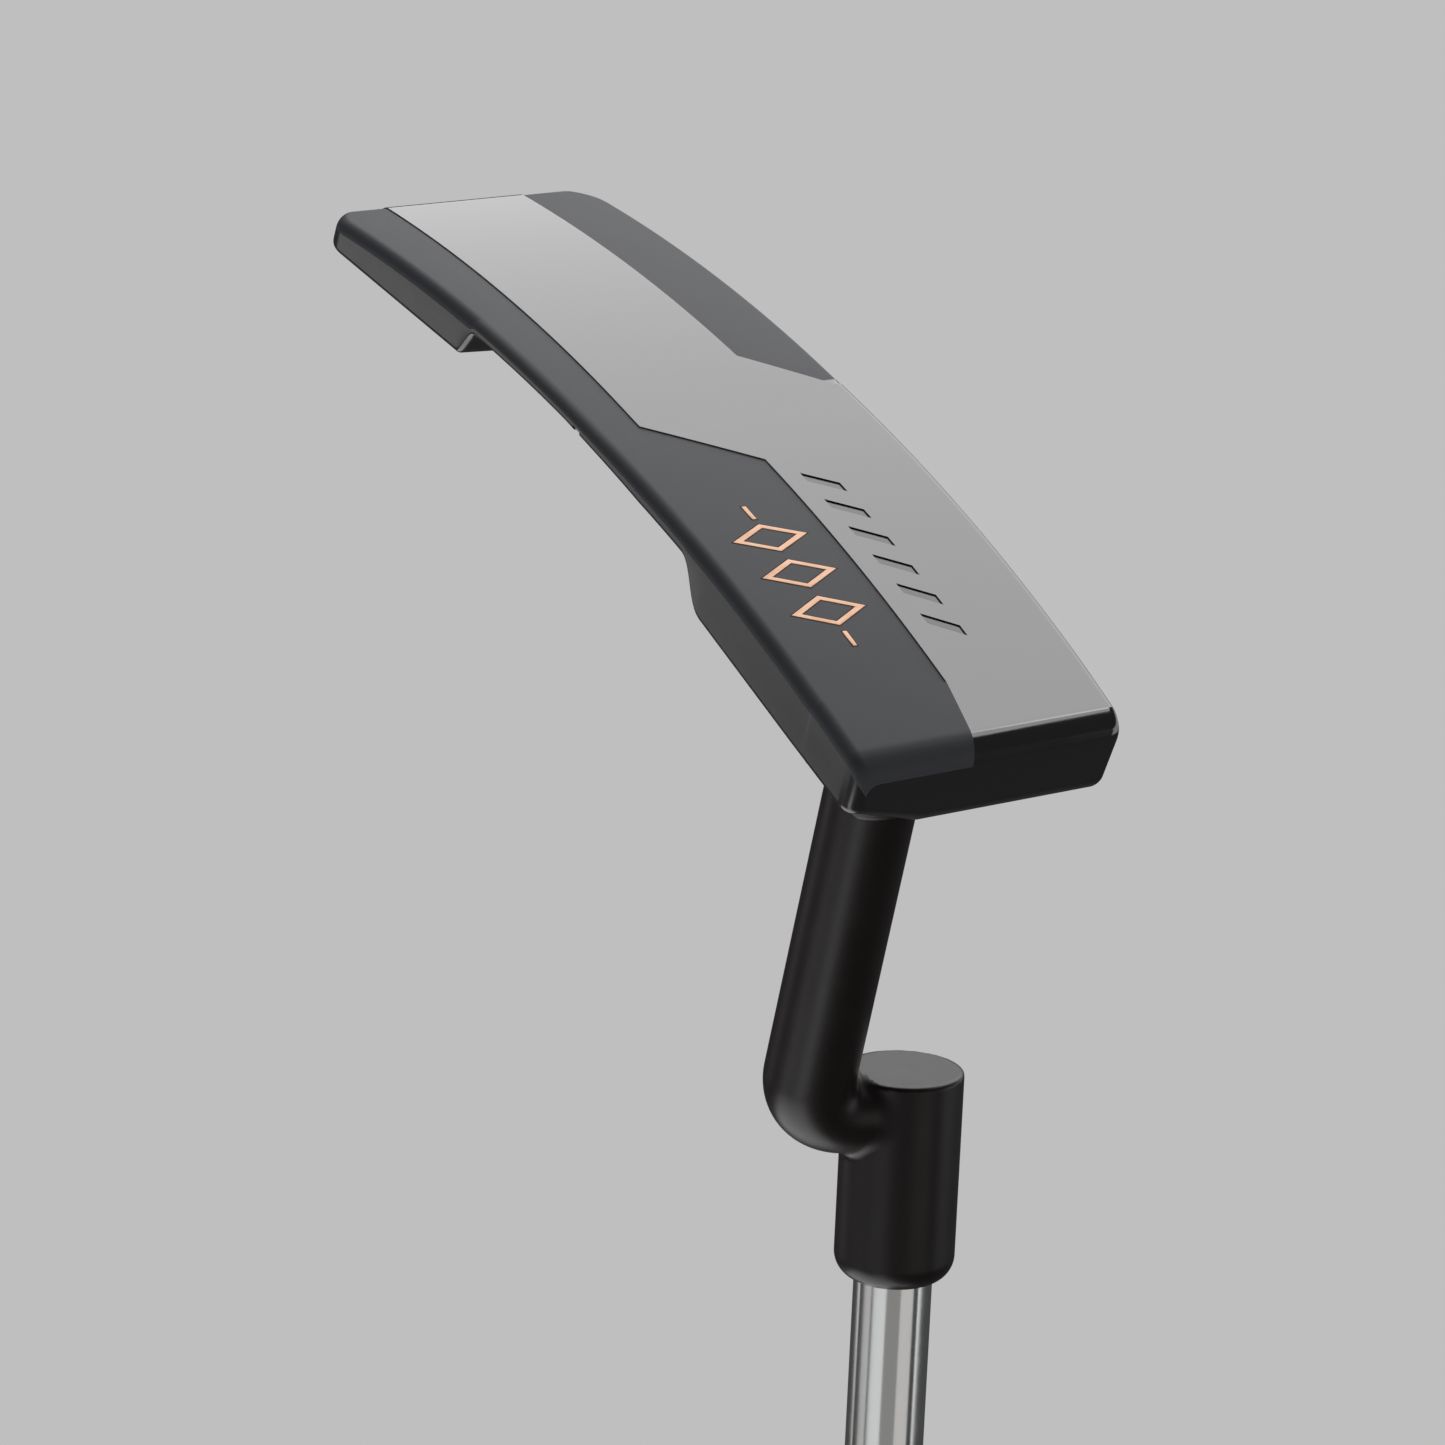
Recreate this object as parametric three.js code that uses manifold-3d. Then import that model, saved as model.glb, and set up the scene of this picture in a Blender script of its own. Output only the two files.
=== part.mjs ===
// Right-handed blade putter: milled head, plumber's neck, steel shaft and rubber grip.
// Millimetres. +X runs from heel to toe, +Y to the target, +Z up; the origin is the middle of the sole,
// where it touches the ground with the club at address.
import * as THREE from 'three';
import { mergeVertices } from 'three/addons/utils/BufferGeometryUtils.js';
import Module from 'manifold-3d';

const wasm = await Module();
wasm.setup();

// ---------------------------------------------------------------- driving dimensions
const CLEARANCE = 0.3;            // gap between seated neighbours

// head
const HEAD_LENGTH = 119.6;
const HEAD_WIDTH = 38;            // sole, back edge to face edge
const CAMBER_RADIUS = 266;        // heel-to-toe curve of the sole
const SOLE_FLAT = 5;              // flat land in the middle of the sole
const LOFT = THREE.MathUtils.degToRad(3.5);
const TOPLINE_Z = 26;
const TOPLINE_WIDTH = 7;
const HEEL_END_Z = 15;            // top of the head at its heel end
const HEEL_SLOPE = 0.78;          // rise of the top from the heel end to the neck
const TOE_CORNER_RADIUS = 9;      // top corner of the toe, seen from the face
const TOE_FLANGE = 2.15;          // thickness of the flange on the toe half
const HEEL_FLANGE = 2.75;
const FLANGE_TAPER_START = 5;     // where the flange starts to thicken towards the heel
const FLANGE_TAPER_RUN = 17;
const FLANGE_RISE = 0.7;          // how much the flange's top climbs towards the face
const HEEL_BLOCK_Z = 8.7;         // top of the heel block at its back edge, where the block starts
const HEEL_BLOCK_SLOPE = 0.135;   // rise of that edge towards the heel end
const HEEL_BLOCK_RISE = 3.4;      // how much the block's top climbs towards the face
const HEEL_BLOCK_START = -21;
const HEEL_BLOCK_RAMP = 6.9;
const TOE_BLOCK_Z = 7;
const TOE_BLOCK_SLOPE = 0.1;
const TOE_BLOCK_RISE = 0.5;
const TOE_BLOCK_START = 24.8;
const TOE_BLOCK_RAMP = 3.2;
const BUMPER_Y = -6.2;            // back of the raised bumpers
const BUMPER_RADIUS = 5;          // their rounded back edge
const NECK_PAD_START = -33.5;     // toe-side end of the pad under the neck
const TOE_BUMPER_START = 43;
const TOE_BUMPER_Z = 17.5;
const BUMPER_RAMP = 2.4;
const BACK_EDGE_RADIUS = 1.5;
const FACE_EDGE_RADIUS = 1;
const TOP_EDGE_RADIUS = 0.9;
const STEP_RADIUS = 1.3;
const STEP_DRAFT = 0.02;
const LAND_MARGIN = 0.3;          // least distance from the land to the face's rounded edge
const HEEL_EDGE_RADIUS = 2.6;     // sole to heel end
const TOE_EDGE_RADIUS = 1.6;
const HEEL_TOP_RADIUS = 1;        // heel end to the top
const TOE_TOP_RADIUS = 3;
const HEEL_BACK_CORNER = 2;       // plan view
const TOE_BACK_CORNER = 5;
const HEEL_FACE_CORNER = 0.6;
const TOE_FACE_CORNER = 6;
const HEEL_END_SLANT = 0.035;     // the heel end runs slightly towards the heel at the back
const SLANT_REACH = 12;           // length of head that the slant is blended over

// sole finish: a polished land between two blasted recesses
const RECESS_DEPTH = 0.14;
const TOE_LAND_BACK = -12.5;      // back boundary of the land in the middle
const TOE_LAND_DRIFT = 0.03;      // its run towards the face, per millimetre towards the toe
const TOE_LAND_FACE = 8.75;       // face boundary of the land on the toe half
const HEEL_LAND_BACK = -0.8;      // back boundary of the land on the heel half
const BACK_SLANT_START = -1;      // where the back boundary turns
const BACK_SLANT_RUN = 9.2;
const FACE_SLANT_START = 11;      // where the face boundary turns
const FACE_SLANT_RUN = 8.4;
const RECESS_HEEL_END = -50.2;
const RECESS_WALL = 0.12;

// six slanted pockets in the land
const POCKET_COUNT = 6;
const POCKET_PITCH = 5.21;
const POCKET_START_X = -13.5;
const POCKET_START_Y = 1.95;
const POCKET_WIDTH = 1.7;         // along X
const POCKET_REACH = 3.9;         // along Y
const POCKET_SHEAR = -2.7;        // heelward run over the reach
const POCKET_DEPTH = 0.16;

// milled cavity in the back of the blade, and the sight line in the flange
const CAVITY_LENGTH = 52;
const CAVITY_Z = 6.5;
const CAVITY_TOP_Z = 20.5;
const CAVITY_DEPTH = 1.6;
const CAVITY_CORNER = 2.5;
const SIGHT_X = 2.1;
const SIGHT_WIDTH = 1.5;
const SIGHT_DEPTH = 0.8;
const SIGHT_FILL = 0.3;
const SIGHT_STOP = 2.5;           // the line ends this far short of the blade

// plumber's neck
const POST_X = -42.1;
const POST_Y = 0.6;               // post axis at the top of the head
const POST_RADIUS = 5.5;
const POST_LEAN = THREE.MathUtils.degToRad(4.4);
const POST_SEAT_DEPTH = 2.2;      // how far the post sinks into the head
const TENON_RADIUS = 3.6;
const TENON_LENGTH = 9;
const BEND_INNER = 0.4;           // inside radius of the bend
const BRIDGE_Z = 71.1;            // axis of the bridge
const WELD_WIDTH = 0.7;
const WELD_HEIGHT = 0.6;
const WELD_ROOM = 0.35;           // gap between the post and the bead
const WELD_SPAN = [-6, 4];        // stretch of the post that the bead can lie on
const LIE = THREE.MathUtils.degToRad(70.7);
const SOCKET_RADIUS = 7.2;
const SOCKET_LENGTH = 26.1;
const SOCKET_FLOOR = 4;
const SOCKET_TOP_RADIUS = 3.2;
const SOCKET_EDGE = 0.5;
const SOCKET_X = -43.2;           // centre of the socket's flat lower end
const SOCKET_Z = 66.9;
const SHAFT_OFFSET = 13.1;        // post axis to shaft axis, towards the target

// shaft
const CLUB_LENGTH = 864;          // sole to butt along the shaft
const TIP_DIAMETER = 9.4;
const BUTT_DIAMETER = 14.8;
const SHAFT_WALL = 0.6;
const SHAFT_STEPS = 9;
const TIP_STRAIGHT = 230;         // parallel tip before the first step
const STEP_PITCH = 38;
const BOND_THICKNESS = 0.3;
const BOND_SHORT = 0.4;           // the bond ends this far below the socket's mouth
const PLUG_LENGTH = 10;
const PLUG_INSET = 1;             // from the end of the shaft
const PLUG_CHAMFER = 0.6;

// grip
const GRIP_LENGTH = 267;
const GRIP_TIP_WALL = 1;          // rubber over the tape
const GRIP_BUTT_WALL = 5.7;
const FLAT_TIP_WALL = 0.9;        // rubber left under the thumb flat
const FLAT_BUTT_WALL = 2;
const GRIP_PISTOL = 3.2;          // extra depth at the back near the butt
const GRIP_TAIL = 0.45;           // share of that depth lost again at the butt
const GRIP_SIDE = 0.94;           // width across the grip, as a share of its depth
const GRIP_LIP = 0.35;            // raised ring at the tip end
const TAPE_THICKNESS = 0.5;
const TAPE_INSET = [3, 1];        // tape ends inside the grip: tip side, butt side
const CAP_LENGTH = 6;
const CAP_VENT_RADIUS = 1.6;
const CAP_CROWN = 0.8;            // flattening of the cap's rounded edge
const CAP_EDGE = 2.7;

// copper ornament let into the heel recess
const ORNAMENT_COUNT = 3;
const ORNAMENT_LENGTH = 5.2;      // one open rhombus, heel to toe
const ORNAMENT_WIDTH = 10.5;      // face to back
const ORNAMENT_LINE = 0.75;
const ORNAMENT_GAP = 1.3;
const ORNAMENT_BAR = 2.6;         // bar at each end of the row
const ORNAMENT_BAR_GAP = 0.8;
const ORNAMENT_X = -21.4;         // toe-side tip of the first rhombus
const ORNAMENT_Y = -8.8;
const ORNAMENT_DEPTH = 0.8;
const ORNAMENT_PROUD = 0.06;

// how finely round pieces are cut into flats
const ROUND_SIDES = 28;
const SMALL_SIDES = 20;
const GRIP_SIDES = 28;
const BEND_STEPS = 7;
const STEP_CHAMFER = 0.5;

const HALF = HEAD_LENGTH / 2;
const BACK_Y = -HEAD_WIDTH / 2;
const FACE_Y = HEAD_WIDTH / 2;

// ---------------------------------------------------------------- materials
const metal = (color, roughness, metalness) => (
  new THREE.MeshStandardMaterial({ color, roughness, metalness }));
const BLACK_PVD = metal(0x2b2c2f, 0.38, 0.9);
const BLACK_SATIN = metal(0x17171a, 0.32, 0.9);
const CHROME = metal(0xc9cccf, 0.12, 1);
const COPPER = metal(0xe2b79a, 0.3, 1);
const EPOXY = metal(0xb9a878, 0.6, 0);
const NYLON = metal(0xd8d6cc, 0.6, 0);
const PAINT = metal(0xeeeeea, 0.5, 0);
const RUBBER = metal(0x1b1b1c, 0.85, 0);
const CAP_RUBBER = metal(0x232324, 0.7, 0);
const TAPE = metal(0xb9b09a, 0.8, 0);

// ---------------------------------------------------------------- solids
function toSolid(geometry) {
  const bare = geometry.index ? geometry.toNonIndexed() : geometry.clone();
  bare.deleteAttribute('normal');
  bare.deleteAttribute('uv');
  const merged = mergeVertices(bare, 1e-4);
  const vertProperties = new Float32Array(merged.attributes.position.array);
  const triVerts = new Uint32Array(merged.index.array);
  return new wasm.Manifold(new wasm.Mesh({ numProp: 3, vertProperties, triVerts }));
}

function toGeometry(solid) {
  const mesh = solid.getMesh();
  const geometry = new THREE.BufferGeometry();
  geometry.setAttribute('position', new THREE.BufferAttribute(new Float32Array(mesh.vertProperties), 3));
  geometry.setIndex(new THREE.BufferAttribute(new Uint32Array(mesh.triVerts), 1));
  geometry.computeVertexNormals();
  return geometry;
}

// Closed skin through rings of equal length; flat caps close both ends.
function loft(rings, capPlane) {
  const count = rings[0].length;
  const positions = rings.flat().flatMap((p) => [p.x, p.y, p.z]);
  const index = [];
  for (let ring = 0; ring + 1 < rings.length; ring += 1) {
    for (let i = 0; i < count; i += 1) {
      const a = ring * count + i;
      const b = ring * count + ((i + 1) % count);
      index.push(a, b, a + count, b, b + count, a + count);
    }
  }
  const last = (rings.length - 1) * count;
  const cap = (ring) => THREE.ShapeUtils.triangulateShape(ring.map(capPlane), []);
  cap(rings[0]).forEach(([a, b, c]) => index.push(a, c, b));
  cap(rings[rings.length - 1]).forEach(([a, b, c]) => index.push(last + a, last + b, last + c));
  const geometry = new THREE.BufferGeometry();
  geometry.setAttribute('position', new THREE.BufferAttribute(new Float32Array(positions), 3));
  geometry.setIndex(index);
  return signedVolume(geometry) < 0 ? flipped(geometry) : geometry;
}

function signedVolume(geometry) {
  const p = geometry.attributes.position;
  const corner = (i) => new THREE.Vector3().fromBufferAttribute(p, geometry.index.getX(i));
  let volume = 0;
  for (let i = 0; i < geometry.index.count; i += 3) {
    volume += corner(i).dot(corner(i + 1).cross(corner(i + 2))) / 6;
  }
  return volume;
}

function flipped(geometry) {
  const index = geometry.index.array;
  for (let i = 0; i < index.length; i += 3) {
    [index[i], index[i + 1]] = [index[i + 1], index[i]];
  }
  return geometry;
}

// Extruded outline in the XY plane, from z = low to z = high.
function prism(points, low, high) {
  const shape = new THREE.Shape(points.map(([x, y]) => new THREE.Vector2(x, y)));
  const geometry = new THREE.ExtrudeGeometry(shape, { depth: high - low, bevelEnabled: false });
  return geometry.translate(0, 0, low);
}

// The same outline with both ends following the curve of the sole, at heights above it.
function draped(points, low, high) {
  const geometry = prism(points, low, high);
  const position = geometry.attributes.position;
  for (let i = 0; i < position.count; i += 1) {
    position.setZ(i, position.getZ(i) + soleZ(position.getX(i)));
  }
  return geometry;
}

// Turned piece about +Z from a closed [radius, z] outline.
function turned(outline, segments) {
  const points = outline.map(([r, z]) => new THREE.Vector2(r, z));
  return new THREE.LatheGeometry([...points, points[0]], segments).rotateX(Math.PI / 2);
}

function sleeve(inner, outer, from, to, sides) {
  return turned([[inner, from], [outer, from], [outer, to], [inner, to]], sides);
}

function plug(radius, from, to, sides) {
  return turned([[0, from], [radius, from], [radius, to], [0, to]], sides);
}

function arcPoints(cx, cy, rx, ry, from, to, steps) {
  return Array.from({ length: steps + 1 }, (_, i) => {
    const a = THREE.MathUtils.degToRad(from + ((to - from) * i) / steps);
    return [cx + rx * Math.cos(a), cy + ry * Math.sin(a)];
  });
}

// ---------------------------------------------------------------- head
const roundIn = (radius, distance) => {
  if (distance >= radius) return 0;
  return radius - Math.sqrt(radius ** 2 - (radius - distance) ** 2);
};

const soleZ = (x) => {
  const reach = Math.max(0, Math.abs(x) - SOLE_FLAT / 2);
  return CAMBER_RADIUS - Math.sqrt(CAMBER_RADIUS ** 2 - reach ** 2);
};

const ramp = (x, start, length) => THREE.MathUtils.smootherstep(x, start, start + length);

const heelBlock = (x) => ramp(-x, -HEEL_BLOCK_START, HEEL_BLOCK_RAMP);
const toeBlock = (x) => ramp(x, TOE_BLOCK_START, TOE_BLOCK_RAMP);

const flangeThickness = (x) => {
  const share = THREE.MathUtils.clamp((FLANGE_TAPER_START - x) / FLANGE_TAPER_RUN, 0, 1);
  return TOE_FLANGE + (HEEL_FLANGE - TOE_FLANGE) * share;
};

// Back edge of the flange's or a block's top.
function backTopZ(x) {
  const flange = soleZ(x) + flangeThickness(x);
  const heel = HEEL_BLOCK_Z + HEEL_BLOCK_SLOPE * (HEEL_BLOCK_START - HEEL_BLOCK_RAMP - x);
  const toe = TOE_BLOCK_Z + TOE_BLOCK_SLOPE * (x - TOE_BLOCK_START - TOE_BLOCK_RAMP);
  return flange + (heel - flange) * heelBlock(x) + (toe - flange) * toeBlock(x);
}

function blockRise(x) {
  const heel = (HEEL_BLOCK_RISE - FLANGE_RISE) * heelBlock(x);
  const toe = (TOE_BLOCK_RISE - FLANGE_RISE) * toeBlock(x);
  return FLANGE_RISE + heel + toe;
}

function toplineZ(x) {
  const heel = HEEL_END_Z + HEEL_SLOPE * (x + HALF);
  const toe = TOPLINE_Z - roundIn(TOE_CORNER_RADIUS, HALF - x);
  return Math.min(TOPLINE_Z, heel, toe);
}

function bumperZ(x, low) {
  const pad = low + (TOPLINE_Z - low) * ramp(-x, -NECK_PAD_START, BUMPER_RAMP);
  const toe = low + (TOE_BUMPER_Z - low) * ramp(x, TOE_BUMPER_START, BUMPER_RAMP);
  return Math.min(x < 0 ? pad : toe, toplineZ(x));
}

function backBoundary(x) {
  const t = THREE.MathUtils.clamp((BACK_SLANT_START - x) / BACK_SLANT_RUN, 0, 1);
  return TOE_LAND_BACK + (HEEL_LAND_BACK - TOE_LAND_BACK) * t + TOE_LAND_DRIFT * Math.max(0, x);
}

function faceBoundary(x, edge) {
  const t = THREE.MathUtils.clamp((FACE_SLANT_START - x) / FACE_SLANT_RUN, 0, 1);
  return Math.min(TOE_LAND_FACE + (edge - TOE_LAND_FACE) * t, edge);
}

// Wall from (y, high) down to low, heading towards -Y, with a rounded top and a filleted foot.
function stepDown(y, high, low, radius) {
  const rise = Math.min(radius, (high - low) / 2);
  const fillet = Math.min(STEP_RADIUS, (high - low) / 2);
  const top = arcPoints(y + radius, high - rise, radius, rise, 90, 180, 3);
  const foot = arcPoints(y - STEP_RADIUS, low + fillet, STEP_RADIUS, fillet, 0, -90, 3);
  return [...top, ...foot.map(([fy, fz]) => [fy - STEP_DRAFT, fz])];
}

const HEEL_ROUNDING = {
  edge: HEEL_EDGE_RADIUS, top: HEEL_TOP_RADIUS, back: HEEL_BACK_CORNER, face: HEEL_FACE_CORNER,
};
const TOE_ROUNDING = {
  edge: TOE_EDGE_RADIUS, top: TOE_TOP_RADIUS, back: TOE_BACK_CORNER, face: TOE_FACE_CORNER,
};

function headRing(x) {
  const gap = HALF - Math.abs(x);
  const rounding = x < 0 ? HEEL_ROUNDING : TOE_ROUNDING;
  const back = BACK_Y + roundIn(rounding.back, gap);
  const sole = soleZ(x) + roundIn(rounding.edge, gap);
  const drop = roundIn(rounding.top, gap);
  const faceInset = roundIn(rounding.face, gap);
  const faceAt = (z) => FACE_Y - z * Math.tan(LOFT) - faceInset;
  const recess = x > RECESS_HEEL_END ? RECESS_DEPTH : 0;
  const landEdge = faceAt(sole) - FACE_EDGE_RADIUS - LAND_MARGIN;
  const land = faceBoundary(x, landEdge);
  const faceRecess = land < landEdge - 1e-6 ? RECESS_DEPTH : 0;
  const ridge = backBoundary(x);
  const top = toplineZ(x) - drop;
  const spare = Math.max(0, backTopZ(x) - soleZ(x) - 2 * rounding.edge);
  const blockBack = backTopZ(x) - Math.min(drop, spare);
  const blockFront = Math.min(blockBack + blockRise(x), top);
  const bumper = Math.max(Math.min(bumperZ(x, blockFront), top), blockFront);
  const topBack = faceAt(top) - TOPLINE_WIDTH;

  const backTopRadius = Math.min(TOP_EDGE_RADIUS, (blockBack - sole - recess) / 3);
  const backFootRadius = Math.min(BACK_EDGE_RADIUS, (blockBack - sole - recess) / 2);
  const soleBack = arcPoints(
    back + BACK_EDGE_RADIUS, sole + recess + backFootRadius, BACK_EDGE_RADIUS, backFootRadius, 180, 270, 4);
  const soleFace = arcPoints(
    faceAt(sole) - FACE_EDGE_RADIUS, sole + faceRecess + FACE_EDGE_RADIUS,
    FACE_EDGE_RADIUS, FACE_EDGE_RADIUS, 270, 360, 3);
  const topFace = arcPoints(
    faceAt(top) - TOP_EDGE_RADIUS, top - TOP_EDGE_RADIUS, TOP_EDGE_RADIUS, TOP_EDGE_RADIUS, 0, 90, 3);
  const backTop = arcPoints(
    back + TOP_EDGE_RADIUS, blockBack - backTopRadius, TOP_EDGE_RADIUS, backTopRadius, 90, 180, 3);
  return [
    ...soleBack,
    [ridge - RECESS_WALL, sole + recess],
    [ridge, sole],
    [land, sole],
    [Math.min(land + RECESS_WALL, landEdge + LAND_MARGIN / 2), sole + faceRecess],
    ...soleFace,
    ...topFace,
    ...stepDown(topBack, top, bumper, STEP_RADIUS),
    ...stepDown(BUMPER_Y, bumper, blockFront, BUMPER_RADIUS),
    ...backTop,
  ];
}

const slanted = (x, y) => {
  const share = THREE.MathUtils.clamp((-x - HALF + SLANT_REACH) / SLANT_REACH, 0, 1);
  return x + HEEL_END_SLANT * (y - FACE_Y / 2) * share;
};

function headStations() {
  const gaps = [0, 0.1, 0.4, 0.9, 1.4, 2.2, 3, 4.2, 6];
  const ends = gaps.flatMap((gap) => [gap - HALF, HALF - gap]);
  const neckTop = (TOPLINE_Z - HEEL_END_Z) / HEEL_SLOPE - HALF;
  const eased = [0, 0.2, 0.35, 0.5, 0.65, 0.8, 1];
  const blocks = eased.flatMap((t) => [
    TOE_BLOCK_START + t * TOE_BLOCK_RAMP, HEEL_BLOCK_START - t * HEEL_BLOCK_RAMP]);
  const bumpers = eased.flatMap((t) => [
    TOE_BUMPER_START + t * BUMPER_RAMP, NECK_PAD_START - t * BUMPER_RAMP]);
  const breaks = [
    RECESS_HEEL_END, RECESS_HEEL_END + 0.3, neckTop, -40,
    BACK_SLANT_START, BACK_SLANT_START - BACK_SLANT_RUN,
    FACE_SLANT_START, FACE_SLANT_START - FACE_SLANT_RUN,
    FLANGE_TAPER_START, FLANGE_TAPER_START - FLANGE_TAPER_RUN,
    -SOLE_FLAT / 2, SOLE_FLAT / 2, -16, -6, 16, 34, HALF - TOE_CORNER_RADIUS,
  ];
  return [...new Set([...ends, ...blocks, ...bumpers, ...breaks])].sort((a, b) => a - b);
}

function headBlank() {
  const section = (x) => headRing(x).map(([y, z]) => new THREE.Vector3(slanted(x, y), y, z));
  const rings = headStations().map(section);
  return toSolid(loft(rings, (p) => new THREE.Vector2(p.y, p.z)));
}

function pocketCutters() {
  return Array.from({ length: POCKET_COUNT }, (_, i) => {
    const x = POCKET_START_X - i * POCKET_PITCH;
    const y = POCKET_START_Y + 0.01 * i * POCKET_PITCH;
    const outline = [
      [x, y],
      [x + POCKET_SHEAR, y + POCKET_REACH],
      [x + POCKET_SHEAR - POCKET_WIDTH, y + POCKET_REACH],
      [x - POCKET_WIDTH, y],
    ];
    return toSolid(draped(outline, -1, POCKET_DEPTH));
  });
}

function cavityCutter() {
  const shape = new THREE.Shape();
  const r = CAVITY_CORNER;
  const w = CAVITY_LENGTH / 2;
  shape.moveTo(-w + r, CAVITY_Z);
  shape.lineTo(w - r, CAVITY_Z);
  shape.absarc(w - r, CAVITY_Z + r, r, -Math.PI / 2, 0);
  shape.lineTo(w, CAVITY_TOP_Z - r);
  shape.absarc(w - r, CAVITY_TOP_Z - r, r, 0, Math.PI / 2);
  shape.lineTo(-w + r, CAVITY_TOP_Z);
  shape.absarc(-w + r, CAVITY_TOP_Z - r, r, Math.PI / 2, Math.PI);
  shape.lineTo(-w, CAVITY_Z + r);
  shape.absarc(-w + r, CAVITY_Z + r, r, Math.PI, Math.PI * 1.5);
  const bladeBack = FACE_Y - TOPLINE_Z * Math.tan(LOFT) - TOPLINE_WIDTH;
  const depth = CAVITY_DEPTH + 4;
  const geometry = new THREE.ExtrudeGeometry(shape, { depth, bevelEnabled: false, curveSegments: 3 });
  return toSolid(geometry.rotateX(Math.PI / 2).translate(0, bladeBack + CAVITY_DEPTH, 0));
}

// Level of the flange's sloping top at a given y, in the middle of the head.
function flangeZ(y) {
  const start = BACK_Y + TOP_EDGE_RADIUS;
  const end = BUMPER_Y - STEP_RADIUS;
  const share = THREE.MathUtils.clamp((y - start) / (end - start), 0, 1);
  return flangeThickness(SIGHT_X) + FLANGE_RISE * share;
}

// Outline in the YZ plane of a bar that follows the flange's top, from depth `low` to depth `high`.
function alongFlange(from, to, low, high) {
  const bend = [BACK_Y + TOP_EDGE_RADIUS, BUMPER_Y - STEP_RADIUS];
  const ys = [from, ...bend, to];
  const floor = ys.map((y) => new THREE.Vector2(y, flangeZ(y) - low));
  const roof = ys.map((y) => new THREE.Vector2(y, flangeZ(y) - high)).reverse();
  return new THREE.Shape([...floor, ...roof]);
}

const SIGHT_FRONT = FACE_Y - TOPLINE_Z * Math.tan(LOFT) - TOPLINE_WIDTH - SIGHT_STOP;

function sightCutter() {
  return toSolid(alongX(alongFlange(BACK_Y - 1, SIGHT_FRONT, SIGHT_DEPTH, -3), SIGHT_X, SIGHT_WIDTH));
}

function sightFill() {
  const low = SIGHT_DEPTH - CLEARANCE;
  const outline = alongFlange(BACK_Y + TOP_EDGE_RADIUS / 2, SIGHT_FRONT - CLEARANCE, low, low - SIGHT_FILL);
  return alongX(outline, SIGHT_X, SIGHT_WIDTH - 2 * CLEARANCE);
}

// Extrudes an outline drawn in the YZ plane along X, centred on the given x.
function alongX(shape, x, width) {
  const geometry = new THREE.ExtrudeGeometry(shape, { depth: width, bevelEnabled: false });
  const turn = new THREE.Matrix4().makeBasis(
    new THREE.Vector3(0, 1, 0), new THREE.Vector3(0, 0, 1), new THREE.Vector3(1, 0, 0));
  return geometry.applyMatrix4(turn).translate(x - width / 2, 0, 0);
}

// Corners of an open rhombus whose line is centred on the same path for any line width.
function rhombus(i, line) {
  const x = ORNAMENT_X - ORNAMENT_LENGTH / 2 - i * (ORNAMENT_LENGTH + ORNAMENT_GAP);
  const y = ORNAMENT_Y;
  const corners = (a, b) => [[x + a, y], [x, y + b], [x - a, y], [x, y - b]];
  const slant = Math.hypot(ORNAMENT_LENGTH, ORNAMENT_WIDTH);
  const grow = (line - ORNAMENT_LINE) / 2;
  const outer = [
    ORNAMENT_LENGTH / 2 + (grow * slant) / ORNAMENT_WIDTH,
    ORNAMENT_WIDTH / 2 + (grow * slant) / ORNAMENT_LENGTH,
  ];
  const inner = [outer[0] - (line * slant) / ORNAMENT_WIDTH, outer[1] - (line * slant) / ORNAMENT_LENGTH];
  return { outer: corners(...outer), inner: corners(...inner) };
}

// The ornament's solids; `room` widens and deepens them into the grooves that they lie in.
function ornamentPieces(room) {
  const line = ORNAMENT_LINE + 2 * room;
  const low = room ? -1 : RECESS_DEPTH - ORNAMENT_PROUD;
  const high = RECESS_DEPTH + ORNAMENT_DEPTH + room;
  const pieces = [];
  const bar = (name, from, to) => {
    const y0 = ORNAMENT_Y - line / 2;
    const y1 = ORNAMENT_Y + line / 2;
    const outline = [[from - room, y0], [to + room, y0], [to + room, y1], [from - room, y1]];
    pieces.push({ name, solid: toSolid(draped(outline, low, high)) });
  };
  for (let i = 0; i < ORNAMENT_COUNT; i += 1) {
    const { outer, inner } = rhombus(i, line);
    const hole = toSolid(draped(inner, low - 1, high + 1));
    const solid = toSolid(draped(outer, low, high)).subtract(hole);
    pieces.push({ name: `ornament_rhombus_${i + 1}`, solid });
  }
  const row = ORNAMENT_COUNT * ORNAMENT_LENGTH + (ORNAMENT_COUNT - 1) * ORNAMENT_GAP;
  const heelTip = ORNAMENT_X - row;
  bar('ornament_bar_toe', ORNAMENT_X + ORNAMENT_BAR_GAP, ORNAMENT_X + ORNAMENT_BAR_GAP + ORNAMENT_BAR);
  bar('ornament_bar_heel', heelTip - ORNAMENT_BAR_GAP - ORNAMENT_BAR, heelTip - ORNAMENT_BAR_GAP);
  return pieces;
}

const POST_TILT = new THREE.Matrix4().makeRotationX(-POST_LEAN);
const postPlace = (geometry) => geometry.applyMatrix4(POST_TILT).translate(POST_X, POST_Y, TOPLINE_Z);

const seatZ = -POST_SEAT_DEPTH;
const tenonSeat = seatZ - TENON_LENGTH;

function neckSeatCutter() {
  const wide = POST_RADIUS + CLEARANCE;
  const narrow = TENON_RADIUS + CLEARANCE;
  const outline = [[0, tenonSeat - CLEARANCE], [narrow, tenonSeat - CLEARANCE], [narrow, seatZ - CLEARANCE],
    [wide, seatZ - CLEARANCE], [wide, 8], [0, 8]];
  return toSolid(postPlace(turned(outline, ROUND_SIDES)));
}

function headSolid() {
  let head = headBlank();
  pocketCutters().forEach((cutter) => {
    head = head.subtract(cutter);
  });
  ornamentPieces(CLEARANCE).forEach(({ solid }) => {
    head = head.subtract(solid);
  });
  return head.subtract(cavityCutter()).subtract(sightCutter()).subtract(neckSeatCutter());
}

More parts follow.
